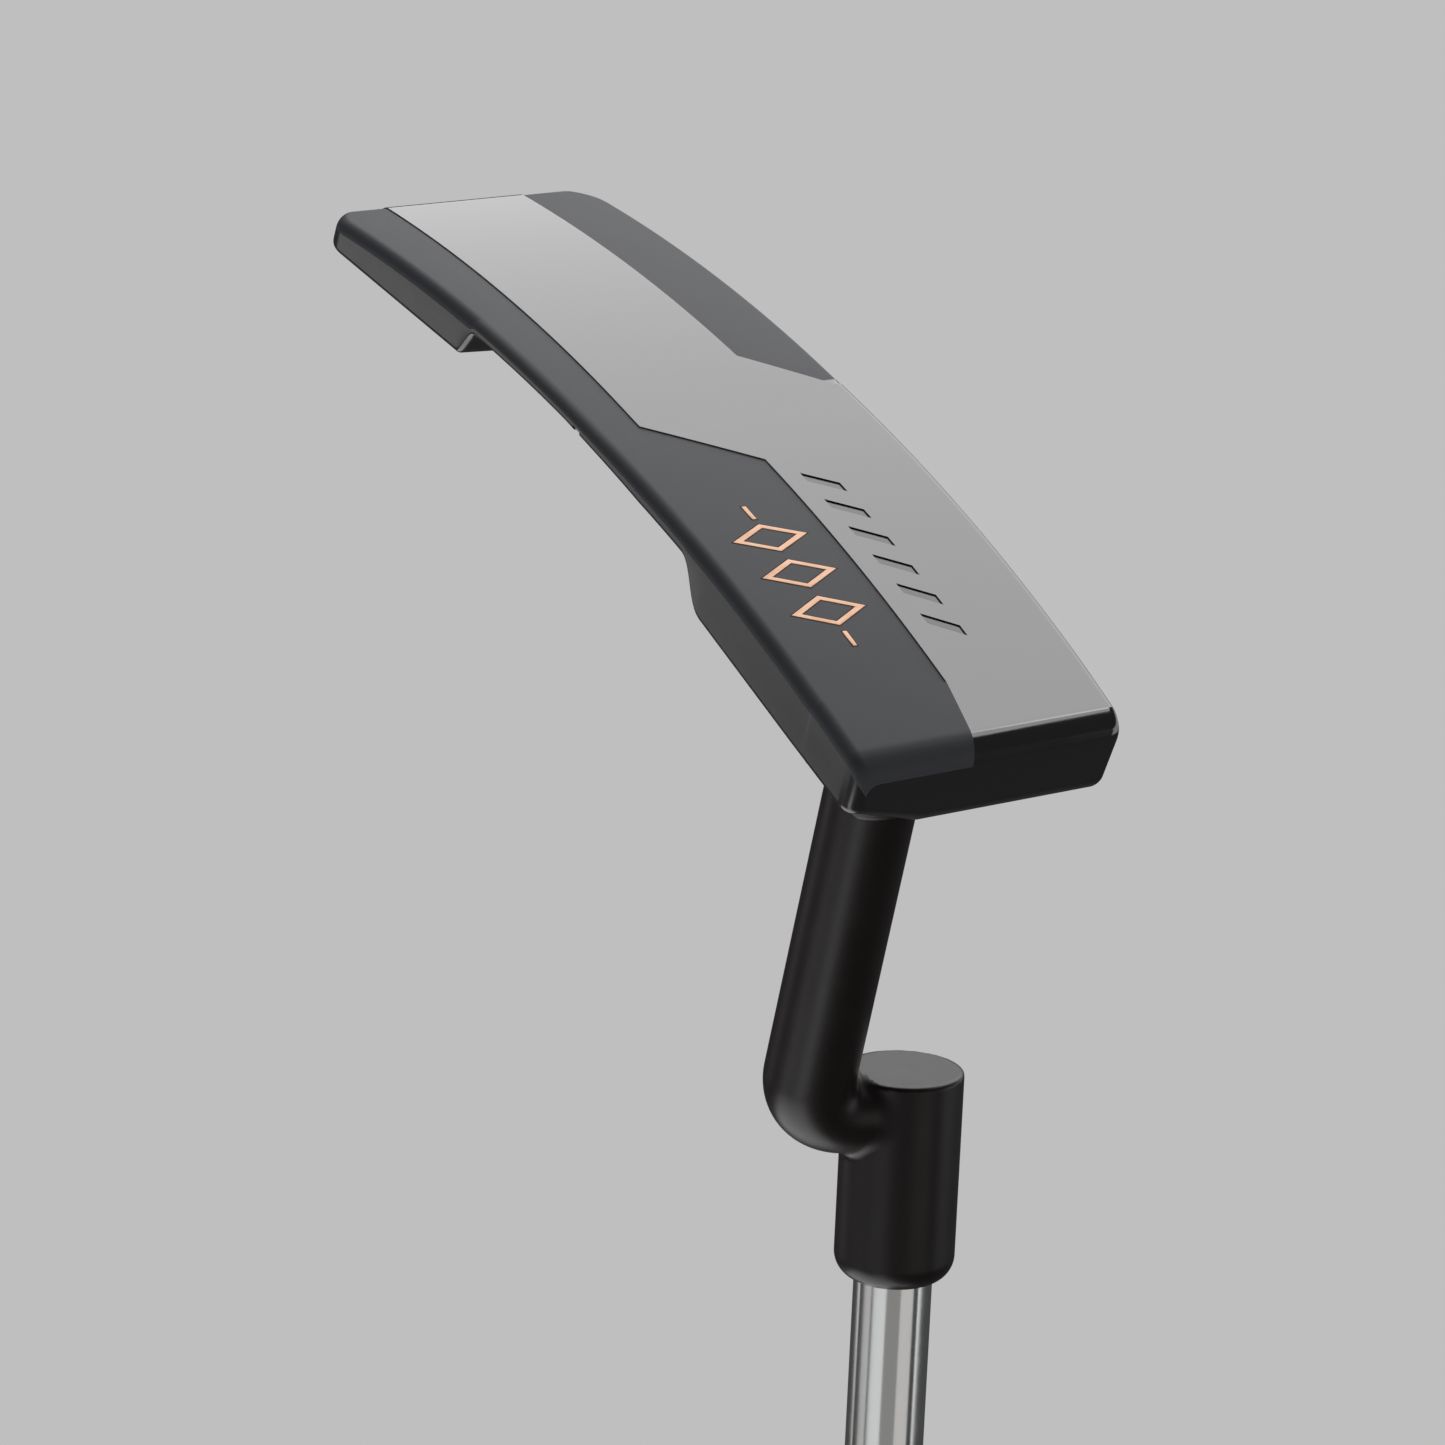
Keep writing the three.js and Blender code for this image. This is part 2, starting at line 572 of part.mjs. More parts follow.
// ---------------------------------------------------------------- neck
const SOCKET_Y = POST_Y + (SOCKET_Z - TOPLINE_Z) * Math.tan(POST_LEAN) + SHAFT_OFFSET;
const BORE_RADIUS = TIP_DIAMETER / 2 + 2 * CLEARANCE + BOND_THICKNESS;
const SHAFT_PLACE = new THREE.Matrix4()
  .makeRotationY(LIE - Math.PI / 2)
  .setPosition(SOCKET_X, SOCKET_Y, SOCKET_Z);
const onShaft = (geometry) => geometry.applyMatrix4(SHAFT_PLACE);

const BEND_RADIUS = POST_RADIUS + BEND_INNER;

// Round bar that follows the post, turns through the bend and runs along the bridge into the socket.
function postAndBridge() {
  const up = new THREE.Vector3(0, Math.sin(POST_LEAN), Math.cos(POST_LEAN));
  const base = new THREE.Vector3(POST_X, POST_Y, TOPLINE_Z);
  const corner = base.clone().addScaledVector(up, (BRIDGE_Z - TOPLINE_Z) / up.z);
  const end = new THREE.Vector3(SOCKET_X - (BRIDGE_Z - SOCKET_Z) / Math.tan(LIE), SOCKET_Y, BRIDGE_Z);
  const out = end.clone().sub(corner).normalize();
  const side = up.clone().cross(out).normalize();
  const inward = side.clone().cross(up).normalize();
  const turn = up.angleTo(out);
  const start = corner.clone().addScaledVector(up, -BEND_RADIUS * Math.tan(turn / 2));
  const centre = start.clone().addScaledVector(inward, BEND_RADIUS);
  const stops = [[base.clone().addScaledVector(up, seatZ), up]];
  for (let i = 0; i <= BEND_STEPS; i += 1) {
    const a = (turn * i) / BEND_STEPS;
    const spoke = inward.clone().multiplyScalar(-Math.cos(a)).addScaledVector(up, Math.sin(a));
    const along = up.clone().multiplyScalar(Math.cos(a)).addScaledVector(inward, Math.sin(a));
    stops.push([centre.clone().addScaledVector(spoke, BEND_RADIUS), along]);
  }
  stops.push([end, out]);
  const angle = (i) => (2 * Math.PI * i) / ROUND_SIDES;
  const rings = stops.map(([point, along]) => {
    const radial = along.clone().cross(side);
    return Array.from({ length: ROUND_SIDES }, (_, i) => {
      const level = side.clone().multiplyScalar(Math.cos(angle(i)));
      const spoke = level.addScaledVector(radial, Math.sin(angle(i)));
      return point.clone().addScaledVector(spoke, POST_RADIUS);
    });
  });
  return loft(rings, (_, i) => new THREE.Vector2(Math.cos(angle(i)), Math.sin(angle(i))));
}

function socketBlank() {
  const r = SOCKET_RADIUS;
  const t = SOCKET_TOP_RADIUS;
  const top = arcPoints(r - t, SOCKET_LENGTH - t, t, t, 0, 90, 4);
  return turned([[0, 0], [r - SOCKET_EDGE, 0], [r, SOCKET_EDGE], ...top, [0, SOCKET_LENGTH]], ROUND_SIDES);
}

function neckSolid() {
  const bore = plug(BORE_RADIUS, SOCKET_FLOOR, SOCKET_LENGTH + 1, ROUND_SIDES);
  const tenon = plug(TENON_RADIUS, tenonSeat, seatZ + 1, SMALL_SIDES);
  return toSolid(postAndBridge())
    .add(toSolid(postPlace(tenon)))
    .add(toSolid(onShaft(socketBlank())))
    .subtract(toSolid(onShaft(bore)));
}

// Weld bead that lies on the head around the foot of the post.
function weldBead(head) {
  const inner = POST_RADIUS + WELD_ROOM;
  const outer = inner + WELD_WIDTH;
  const ring = sleeve(inner, outer, ...WELD_SPAN, ROUND_SIDES);
  return toSolid(postPlace(ring))
    .intersect(head.translate(0, 0, CLEARANCE + WELD_HEIGHT))
    .subtract(head.translate(0, 0, CLEARANCE))
    .subtract(head.translate(0, -CLEARANCE, 0));
}

// ---------------------------------------------------------------- shaft
const SHAFT_START = SOCKET_FLOOR + CLEARANCE;
const SOLE_TO_SOCKET = SOCKET_Z / Math.sin(LIE);
const BUTT_END = CLUB_LENGTH - SOLE_TO_SOCKET;
const CAP_START = BUTT_END - CAP_LENGTH;
const SHAFT_END = CAP_START - CLEARANCE;
const BUTT_RADIUS = BUTT_DIAMETER / 2;

function shaftTube() {
  const stepRise = (BUTT_DIAMETER - TIP_DIAMETER) / 2 / SHAFT_STEPS;
  const outside = [[TIP_DIAMETER / 2, SHAFT_START]];
  for (let i = 0; i < SHAFT_STEPS; i += 1) {
    const r = TIP_DIAMETER / 2 + i * stepRise;
    const z = SHAFT_START + TIP_STRAIGHT + i * STEP_PITCH;
    outside.push([r, z], [r + stepRise, z + STEP_CHAMFER]);
  }
  outside.push([BUTT_RADIUS, SHAFT_END]);
  const inside = outside.map(([r, z]) => [r - SHAFT_WALL, z]).reverse();
  return turned([...outside, ...inside], ROUND_SIDES);
}

function bondSleeve() {
  const inner = TIP_DIAMETER / 2 + CLEARANCE;
  return sleeve(inner, inner + BOND_THICKNESS, SHAFT_START, SOCKET_LENGTH - BOND_SHORT, ROUND_SIDES);
}

function tipPlug() {
  const r = TIP_DIAMETER / 2 - SHAFT_WALL - CLEARANCE;
  const from = SHAFT_START + PLUG_INSET;
  const to = from + PLUG_LENGTH;
  const outline = [[0, from], [r - PLUG_CHAMFER, from], [r, from + PLUG_CHAMFER], [r, to], [0, to]];
  return turned(outline, SMALL_SIDES);
}

// ---------------------------------------------------------------- grip
const TAPE_INNER = BUTT_RADIUS + CLEARANCE;
const GRIP_BORE = TAPE_INNER + TAPE_THICKNESS + CLEARANCE;
const GRIP_START = BUTT_END - GRIP_LENGTH;

// Section of the grip at a share of its length: flat for the thumbs in front, fuller behind near the butt.
function gripRing(share, z, radius) {
  const ease = THREE.MathUtils.smoothstep;
  const belly = ease(share, 0.5, 0.86) - GRIP_TAIL * ease(share, 0.88, 1);
  const flat = ease(share, 0.02, 0.12);
  const flatWall = FLAT_TIP_WALL + (FLAT_BUTT_WALL - FLAT_TIP_WALL) * share;
  const front = radius + (GRIP_BORE + flatWall - radius) * flat;
  return Array.from({ length: GRIP_SIDES }, (_, i) => {
    const a = (2 * Math.PI * i) / GRIP_SIDES;
    const x = radius * Math.cos(a);
    const y = radius * Math.sin(a) * GRIP_SIDE;
    const flattened = x > front ? front + 0.2 * (x - front) : x;
    const back = x < 0 ? GRIP_PISTOL * belly * Math.cos(a) : 0;
    return new THREE.Vector3(flattened + back, y, z);
  });
}

const gripRadius = (share) => {
  const lip = GRIP_LIP * (1 - THREE.MathUtils.smoothstep(share, 0, 0.012));
  return GRIP_BORE + GRIP_TIP_WALL + (GRIP_BUTT_WALL - GRIP_TIP_WALL) * share ** 0.8 + lip;
};

function gripSleeve() {
  const tip = [0, 0.012, 0.04, 0.08, 0.12, 0.2, 0.3, 0.4];
  const shares = [...tip, 0.5, 0.56, 0.62, 0.68, 0.74, 0.8, 0.86, 0.9, 0.94, 1];
  const length = SHAFT_END - GRIP_START;
  const rings = shares.map((share) => gripRing(share, GRIP_START + share * length, gripRadius(share)));
  const bore = plug(GRIP_BORE, GRIP_START - 1, SHAFT_END + 1, ROUND_SIDES);
  return toSolid(loft(rings, (p) => new THREE.Vector2(p.x, p.y))).subtract(toSolid(bore));
}

function gripCap() {
  const shell = [0, 0.55, 1].map((share) => {
    const inset = roundIn(CAP_EDGE, CAP_LENGTH * (1 - share));
    return gripRing(1, CAP_START + share * CAP_LENGTH, GRIP_BORE + GRIP_BUTT_WALL - inset * CAP_CROWN);
  });
  const vent = plug(CAP_VENT_RADIUS, CAP_START - 1, BUTT_END + 1, SMALL_SIDES);
  return toSolid(loft(shell, (p) => new THREE.Vector2(p.x, p.y))).subtract(toSolid(vent));
}

// ---------------------------------------------------------------- the object
const group = new THREE.Group();
group.name = 'blade_putter';

function add(name, geometry, material) {
  const mesh = new THREE.Mesh(geometry, material);
  mesh.name = name;
  group.add(mesh);
}

const head = headSolid();
add('putter_head', toGeometry(head), BLACK_PVD);
add('sight_line_fill', sightFill(), PAINT);
ornamentPieces(0).forEach(({ name, solid }) => add(name, toGeometry(solid), COPPER));
add('plumber_neck', toGeometry(neckSolid()), BLACK_SATIN);
add('neck_weld_bead', toGeometry(weldBead(head)), BLACK_SATIN);
add('shaft', onShaft(shaftTube()), CHROME);
add('shaft_bond', onShaft(bondSleeve()), EPOXY);
add('shaft_tip_plug', onShaft(tipPlug()), NYLON);
const [tapeTip, tapeButt] = [GRIP_START + TAPE_INSET[0], SHAFT_END - TAPE_INSET[1]];
const tape = sleeve(TAPE_INNER, TAPE_INNER + TAPE_THICKNESS, tapeTip, tapeButt, ROUND_SIDES);
add('grip_tape', onShaft(tape), TAPE);
add('grip_sleeve', onShaft(toGeometry(gripSleeve())), RUBBER);
add('grip_cap', onShaft(toGeometry(gripCap())), CAP_RUBBER);

export default group;
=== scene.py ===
import math

import bpy
import bmesh
import numpy as np
from mathutils import Matrix, Vector
from mathutils.bvhtree import BVHTree
from mathutils.interpolate import poly_3d_calc


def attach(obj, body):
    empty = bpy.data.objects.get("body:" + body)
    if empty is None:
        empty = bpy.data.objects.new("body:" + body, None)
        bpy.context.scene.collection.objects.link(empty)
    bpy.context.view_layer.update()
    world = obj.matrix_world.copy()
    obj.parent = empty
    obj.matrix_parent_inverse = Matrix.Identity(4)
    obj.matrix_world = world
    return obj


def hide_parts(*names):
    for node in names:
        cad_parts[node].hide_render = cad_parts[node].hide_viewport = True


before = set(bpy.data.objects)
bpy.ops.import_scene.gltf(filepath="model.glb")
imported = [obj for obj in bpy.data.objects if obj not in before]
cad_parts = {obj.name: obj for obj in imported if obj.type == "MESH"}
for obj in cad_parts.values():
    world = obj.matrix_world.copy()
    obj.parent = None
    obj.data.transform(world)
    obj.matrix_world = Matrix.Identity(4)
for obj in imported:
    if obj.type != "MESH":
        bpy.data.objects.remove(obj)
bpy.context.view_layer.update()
MM = 0.001

# ---------------------------------------------------------------- sizes, in millimetres
HEAD_LENGTH = 119.6
HEAD_WIDTH = 38
HALF = HEAD_LENGTH / 2
BACK_Y = -HEAD_WIDTH / 2
FACE_Y = HEAD_WIDTH / 2
CAMBER_RADIUS = 266
SOLE_FLAT = 5
LOFT = math.radians(3.5)
TOPLINE_Z = 26
TOPLINE_WIDTH = 7
HEEL_END_Z = 15
HEEL_SLOPE = 0.78
TOE_CORNER_RADIUS = 9
TOE_FLANGE = 2.15
HEEL_FLANGE = 2.75
FLANGE_TAPER_START = 5
FLANGE_TAPER_RUN = 17
FLANGE_RISE = 0.7
HEEL_BLOCK_Z = 8.7
HEEL_BLOCK_SLOPE = 0.135
HEEL_BLOCK_RISE = 3.4
HEEL_BLOCK_START = -21
HEEL_BLOCK_RAMP = 6.9
TOE_BLOCK_Z = 7
TOE_BLOCK_SLOPE = 0.1
TOE_BLOCK_RISE = 0.5
TOE_BLOCK_START = 24.8
TOE_BLOCK_RAMP = 3.2
BUMPER_Y = -6.2
BUMPER_RADIUS = 5
NECK_PAD_START = -33.5
TOE_BUMPER_START = 43
TOE_BUMPER_Z = 17.5
BUMPER_RAMP = 2.4
BACK_EDGE_RADIUS = 1.5
FACE_EDGE_RADIUS = 1
TOP_EDGE_RADIUS = 0.9
STEP_RADIUS = 1.3
STEP_DRAFT = 0.02
LAND_MARGIN = 0.3
# edge, top, back corner, face corner
HEEL_ROUNDING = (2.6, 1, 2, 0.6)
TOE_ROUNDING = (1.6, 3, 5, 6)
HEEL_END_SLANT = 0.035
SLANT_REACH = 12

RECESS_DEPTH = 0.14
RECESS_WALL = 0.12
TOE_LAND_BACK = -12.5
TOE_LAND_DRIFT = 0.03
TOE_LAND_FACE = 8.75
HEEL_LAND_BACK = -0.8
BACK_SLANT_START = -1
BACK_SLANT_RUN = 9.2
FACE_SLANT_START = 11
FACE_SLANT_RUN = 8.4
RECESS_HEEL_END = -50.2
FINISH_DRIFT = 0.18            # the finish boundary's drift to the back, past the recess

POCKET_COUNT = 6
POCKET_PITCH = 5.21
POCKET_START = (-13.5, 1.95)
POCKET_WIDTH = 1.7
POCKET_REACH = 3.9
POCKET_SHEAR = -2.7
POCKET_DRIFT = 0.01            # the row's drift to the face, per millimetre towards the heel
POCKET_DEPTH = 0.16

CAVITY_LENGTH = 52
CAVITY_Z = 6.5
CAVITY_TOP_Z = 20.5
CAVITY_DEPTH = 1.6
CAVITY_CORNER = 2.5
CAVITY_REACH = 4               # how far its cutter stands out of the wall
SIGHT_X = 2.1
SIGHT_WIDTH = 1.5
SIGHT_DEPTH = 0.8
SIGHT_FILL = 0.55
SIGHT_END = 2.5                # from the back of the topline to the front end of the notch
PAINT_START = 0.45
PAINT_SEAM = 0.02

POST_X = -42.1
POST_Y = 0.6
POST_RADIUS = 5.5
POST_LEAN = math.radians(4.4)
POST_SEAT_DEPTH = 2.2
SEAT_SEAM = 0.03
SEAT_CORE = 0.01
SEAT_REACH = 8
BEND_RADIUS = 5.9
BRIDGE_Z = 71.1
LIE = math.radians(70.7)
SOCKET_RADIUS = 7.2
SOCKET_LENGTH = 26.1
SOCKET_FLOOR = 4
SOCKET_TOP_RADIUS = 3.2
SOCKET_EDGE = 0.5
SOCKET_X = -43.2
SOCKET_Z = 66.9
SHAFT_OFFSET = 13.1
SOCKET_Y = POST_Y + (SOCKET_Z - TOPLINE_Z) * math.tan(POST_LEAN) + SHAFT_OFFSET
NECK_FILLET = 1.1              # bridge into socket
NECK_VOXEL = 0.42
NECK_ROUNDS = 8                # steps that settle the skin on the blended form
NECK_TAIL = 8                  # post below the top of the head, before it is trimmed at the seat
NECK_TAIL_OVER = 6
RAW_POST = 40
BORE_SEAM = 0.12
BORE_REACH = 40
BEAD_WIDTH = 0.9
BEAD_HEIGHT = 0.65
BEAD_OVERLAP = 0.05
BEAD_ROOT = 0.5                # how far it sinks into the head
BEAD_LIFT = 0.01
BEAD_RIPPLE = 0.04
BEAD_RIPPLES = 46

CLUB_LENGTH = 864
TIP_RADIUS = 4.7
BUTT_RADIUS = 7.4
SHAFT_WALL = 0.6
SHAFT_STEPS = 9
TIP_STRAIGHT = 230
STEP_PITCH = 38
STEP_CHAMFER = 0.5
STEP_POINTS = 5
CLEARANCE = 0.3

GRIP_LENGTH = 267
GRIP_BORE = 8.5
GRIP_TIP_WALL = 1
GRIP_BUTT_WALL = 5.7
FLAT_TIP_WALL = 0.9
FLAT_BUTT_WALL = 2
GRIP_PISTOL = 3.2
GRIP_TAIL = 0.45
GRIP_SIDE = 0.94
GRIP_LIP = 0.35
# where things lie along the grip, as shares of its length
GRIP_LIP_CREST = 0.004
GRIP_LIP_END = 0.012
GRIP_BODY_START = 0.02
FLAT_START = (0.02, 0.12)
BELLY_START = (0.5, 0.86)
TAIL_START = (0.88, 1)
GROOVES_START = (0.05, 0.07)
GROOVES_END = (0.95, 0.97)
FLAT_CROWN = 0.2               # how much of the round form is left on the flat front
GROOVE_DEPTH = 0.28
GROOVE_TURNS = 14
GROOVE_PITCH = 0.42
GROOVE_WIDTH = 0.3
GROOVE_STEEPNESS = 1.6
GROOVE_SIDES = (-0.25, 0.0)    # where they fade out at the sides, as cosines from the back
CAP_LENGTH = 6
CAP_CROWN = 0.8
CAP_EDGE = 2.7
CAP_VENT_RADIUS = 1.6
CAP_VENT_EDGE = 0.4

ORNAMENT_COUNT = 3
ORNAMENT_LENGTH = 5.2
ORNAMENT_WIDTH = 10.5
ORNAMENT_LINE = 0.75
ORNAMENT_GAP = 1.3
ORNAMENT_BAR = 2.6
ORNAMENT_BAR_GAP = 0.8
ORNAMENT_AT = (-21.4, -8.8)
ORNAMENT_DEPTH = 0.8
ORNAMENT_PROUD = 0.06
ORNAMENT_SEAM = 0.05           # gap round the copper
ORNAMENT_BEVEL = 0.12
ORNAMENT_OVER = 1.2            # how far its cutters stand out of the sole

CUTTER_OVER = 1                # how far other cutters stand out of what they cut
EDGE_STEPS = 8                 # segments in a rounded edge
SMOOTH_ANGLE = math.radians(24)
INLAY_SMOOTH = math.radians(40)
NECK_SMOOTH = math.radians(50)
GRIP_SMOOTH = math.radians(35)
BORE_SIDES = 96
POST_SIDES = 48
SOCKET_SIDES = 64
BEND_STEPS = 12
BEAD_SIDES = 160
BEAD_STEPS = 12
SHAFT_SIDES = 128
GRIP_SIDES = 256
GRIP_RINGS = 520
CAP_SIDES = 128
CAP_RINGS = 16


# ---------------------------------------------------------------- node helpers
def material(name, base, roughness, metallic=0.0, **sockets):
    """A Principled material; other sockets are given by name."""
    mat = bpy.data.materials.new(name)
    mat.use_nodes = True
    shader = mat.node_tree.nodes["Principled BSDF"]
    shader.inputs["Base Color"].default_value = (*base, 1)
    shader.inputs["Roughness"].default_value = roughness
    shader.inputs["Metallic"].default_value = metallic
    for key, value in sockets.items():
        shader.inputs[key.replace("_", " ")].default_value = value
    return mat


def place(mat, stretch=(1, 1, 1)):
    """Object coordinates, in millimetres, stretched along each axis."""
    tree = mat.node_tree
    coords = tree.nodes.new("ShaderNodeTexCoord")
    scaled = tree.nodes.new("ShaderNodeMapping")
    scaled.inputs["Scale"].default_value = tuple(s / MM for s in stretch)
    tree.links.new(coords.outputs["Object"], scaled.inputs["Vector"])
    return scaled.outputs["Vector"]


def noise(mat, vector, scale, detail=2.0, roughness=0.5):
    node = mat.node_tree.nodes.new("ShaderNodeTexNoise")
    node.inputs["Scale"].default_value = scale
    node.inputs["Detail"].default_value = detail
    node.inputs["Roughness"].default_value = roughness
    mat.node_tree.links.new(vector, node.inputs["Vector"])
    return node.outputs["Fac"]


def spread(mat, value, low, high):
    """Stretches a value from 0 to 1 over low to high."""
    node = mat.node_tree.nodes.new("ShaderNodeMapRange")
    node.inputs["To Min"].default_value = low
    node.inputs["To Max"].default_value = high
    mat.node_tree.links.new(value, node.inputs["Value"])
    return node.outputs["Result"]


def mixed(mat, value, first, second):
    node = mat.node_tree.nodes.new("ShaderNodeMix")
    node.data_type = "RGBA"
    node.inputs["A"].default_value = (*first, 1)
    node.inputs["B"].default_value = (*second, 1)
    mat.node_tree.links.new(value, node.inputs["Factor"])
    return node.outputs["Result"]


def bump(mat, height, depth_mm, after=None):
    """Bump of the given depth; `height` runs from 0 to 1."""
    node = mat.node_tree.nodes.new("ShaderNodeBump")
    node.inputs["Strength"].default_value = 1
    node.inputs["Distance"].default_value = depth_mm * MM
    mat.node_tree.links.new(height, node.inputs["Height"])
    if after is not None:
        mat.node_tree.links.new(after, node.inputs["Normal"])
    return node.outputs["Normal"]


def wire(mat, **sockets):
    shader = mat.node_tree.nodes["Principled BSDF"]
    for key, value in sockets.items():
        mat.node_tree.links.new(value, shader.inputs[key.replace("_", " ")])


# ---------------------------------------------------------------- materials
def polished_black():
    mat = material("black_polished", (0.012, 0.012, 0.0125), 0.08, IOR=2.22)
    v = place(mat)
    wave = noise(mat, v, 0.09, 2)
    grain = noise(mat, place(mat, (0.6, 6, 6)), 1.6, 3)
    wire(mat, Roughness=spread(mat, noise(mat, v, 0.3, 3), 0.06, 0.11),
         Normal=bump(mat, grain, 0.0002, bump(mat, wave, 0.004)))
    return mat


def blasted_black():
    mat = material("black_blasted", (0.058, 0.061, 0.07), 0.62, IOR=1.75)
    v = place(mat)
    beads = noise(mat, v, 7, 3, 0.6)
    cloud = noise(mat, v, 0.12, 3)
    wire(mat, Base_Color=mixed(mat, cloud, (0.052, 0.056, 0.071), (0.06, 0.0645, 0.0815)),
         Roughness=spread(mat, beads, 0.55, 0.68),
         Normal=bump(mat, beads, 0.012))
    return mat


def satin_black(name, tint, roughness, ior=1.5):
    mat = material(name, tint, roughness, IOR=ior)
    v = place(mat)
    fine = noise(mat, v, 5, 3, 0.6)
    cloud = noise(mat, v, 0.16, 3)
    darker = tuple(c * 0.8 for c in tint)
    wire(mat, Base_Color=mixed(mat, cloud, darker, tint),
         Roughness=spread(mat, cloud, roughness - 0.05, roughness + 0.06),
         Normal=bump(mat, fine, 0.004))
    return mat


def copper():
    mat = material("copper_inlay", (0.5, 0.3, 0.2), 0.3, metallic=1.0)
    v = place(mat)
    cloud = noise(mat, v, 0.5, 3)
    wire(mat, Base_Color=mixed(mat, cloud, (0.40, 0.22, 0.13), (0.52, 0.34, 0.25)),
         Roughness=spread(mat, noise(mat, v, 3, 2), 0.22, 0.4),
         Normal=bump(mat, noise(mat, v, 4, 2), 0.01))
    return mat


def chrome():
    mat = material("chrome_polished", (0.84, 0.85, 0.85), 0.15, metallic=1.0)
    v = place(mat)
    wire(mat, Roughness=spread(mat, noise(mat, v, 0.4, 4), 0.12, 0.19),
         Normal=bump(mat, noise(mat, v, 0.15, 2), 0.004))
    return mat


def rubber(name, tone):
    mat = material(name, (tone, tone, tone), 0.7, IOR=1.5)
    v = place(mat)
    fine = noise(mat, v, 3.5, 3, 0.65)
    wire(mat, Base_Color=mixed(mat, noise(mat, v, 0.06, 4), (tone * 0.75,) * 3, (tone * 1.3,) * 3),
         Roughness=spread(mat, fine, 0.62, 0.85),
         Normal=bump(mat, fine, 0.05))
    return mat


def enamel():
    mat = material("white_enamel", (0.82, 0.82, 0.8), 0.4)
    v = place(mat)
    wire(mat, Base_Color=mixed(mat, noise(mat, v, 0.5, 3), (0.76, 0.76, 0.73), (0.84, 0.84, 0.82)),
         Normal=bump(mat, noise(mat, v, 0.6, 2), 0.02))
    return mat


def plain(name, first, second, roughness, grain):
    """Hidden pieces: two tones and a grain."""
    mat = material(name, first, roughness)
    v = place(mat)
    wire(mat, Base_Color=mixed(mat, noise(mat, v, grain / 4, 3), first, second),
         Roughness=spread(mat, noise(mat, v, grain, 2), roughness - 0.1, roughness + 0.1),
         Normal=bump(mat, noise(mat, v, grain, 3), 0.02))
    return mat


GLOSS = polished_black()
BLAST = blasted_black()
BODY = satin_black("black_satin_head", (0.014, 0.014, 0.016), 0.24, 1.9)
CUT = satin_black("black_satin_cut", (0.012, 0.012, 0.013), 0.3)
POCKET = satin_black("black_pocket", (0.02, 0.02, 0.021), 0.2, 1.9)
NECK = satin_black("black_satin_neck", (0.010, 0.0045, 0.004), 0.36, 1.5)
COPPER = copper()
CHROME = chrome()
RUBBER = rubber("rubber_grip", 0.018)
CAP = rubber("rubber_cap", 0.026)
ENAMEL = enamel()
EPOXY = plain("epoxy", (0.42, 0.34, 0.18), (0.5, 0.42, 0.25), 0.5, 2)
NYLON = plain("nylon", (0.66, 0.65, 0.58), (0.72, 0.71, 0.66), 0.5, 1.5)
TAPE = plain("grip_tape", (0.42, 0.37, 0.26), (0.5, 0.45, 0.33), 0.75, 6)


# ---------------------------------------------------------------- mesh helpers
def build(name, points_mm, faces, mats, index=None, smooth=SMOOTH_ANGLE):
    """Object from points and faces, with doubled points joined and normals outwards."""
    mesh = bpy.data.meshes.new(name)
    mesh.from_pydata([tuple(c * MM for c in p) for p in points_mm], [], faces)
    for mat in mats:
        mesh.materials.append(mat)
    if index is not None:
        mesh.polygons.foreach_set("material_index", index)
    joined = bmesh.new()
    joined.from_mesh(mesh)
    bmesh.ops.remove_doubles(joined, verts=joined.verts, dist=1e-7)
    bmesh.ops.recalc_face_normals(joined, faces=joined.faces)
    joined.to_mesh(mesh)
    joined.free()
    shade(mesh, smooth)
    obj = bpy.data.objects.new(name, mesh)
    bpy.context.scene.collection.objects.link(obj)
    return obj


def shade(mesh, smooth):
    mesh.polygons.foreach_set("use_smooth", [True] * len(mesh.polygons))
    mesh.set_sharp_from_angle(angle=smooth)
    mesh.update()


def show(obj, node):
    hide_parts(node)
    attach(obj, "root")
    return obj


def skin(rings, closed):
    """Points and quads through rings of equal length; a closed skin joins the last ring to the first."""
    count = len(rings[0])
    faces = []
    for r in range(len(rings) if closed else len(rings) - 1):
        n = (r + 1) % len(rings)
        for i in range(count):
            j = (i + 1) % count
            faces.append((r * count + i, r * count + j, n * count + j, n * count + i))
    return [p for ring in rings for p in ring], faces


def loft(name, rings, mats, index=None):
    """Skin through rings, capped at both ends; `index` gives each quad's material, and the caps' at -1."""
    count = len(rings[0])
    points, faces = skin(rings, closed=False)
    strip = [index(*divmod(f, count)) if index else 0 for f in range(len(faces))]
    faces += [tuple(range(count)), tuple((len(rings) - 1) * count + i for i in range(count))]
    cap = index(0, -1) if index else 0
    return build(name, points, faces, mats, strip + [cap, cap])


def hoop(name, rings, mats, smooth=SMOOTH_ANGLE):
    """Skin through rings whose last one meets the first."""
    points, faces = skin(rings, closed=True)
    return build(name, points, faces, mats, smooth=smooth)


def circle(radius, z, sides):
    out = []
    for i in range(sides):
        a = 2 * math.pi * i / sides
        out.append((radius * math.cos(a), radius * math.sin(a), z))
    return out


def turned(name, outline, sides, mats):
    """Turned piece about +Z from a closed outline of [radius, z] points."""
    rings = []
    for k in range(sides):
        a = 2 * math.pi * k / sides
        rings.append([(r * math.cos(a), r * math.sin(a), z) for r, z in outline])
    return hoop(name, rings, mats)


def prism(name, outline, low, high, mats, draped=False):
    """Upright prism over an [x, y] outline; draped ones follow the curve of the sole."""
    count = len(outline)
    rise = sole_z if draped else (lambda x: 0.0)
    points = [(x, y, z + rise(x)) for z in (low, high) for x, y in outline]
    faces = [(i, (i + 1) % count, (i + 1) % count + count, i + count) for i in range(count)]
    faces += [tuple(range(count)), tuple(range(count, 2 * count))]
    return build(name, points, faces, mats)


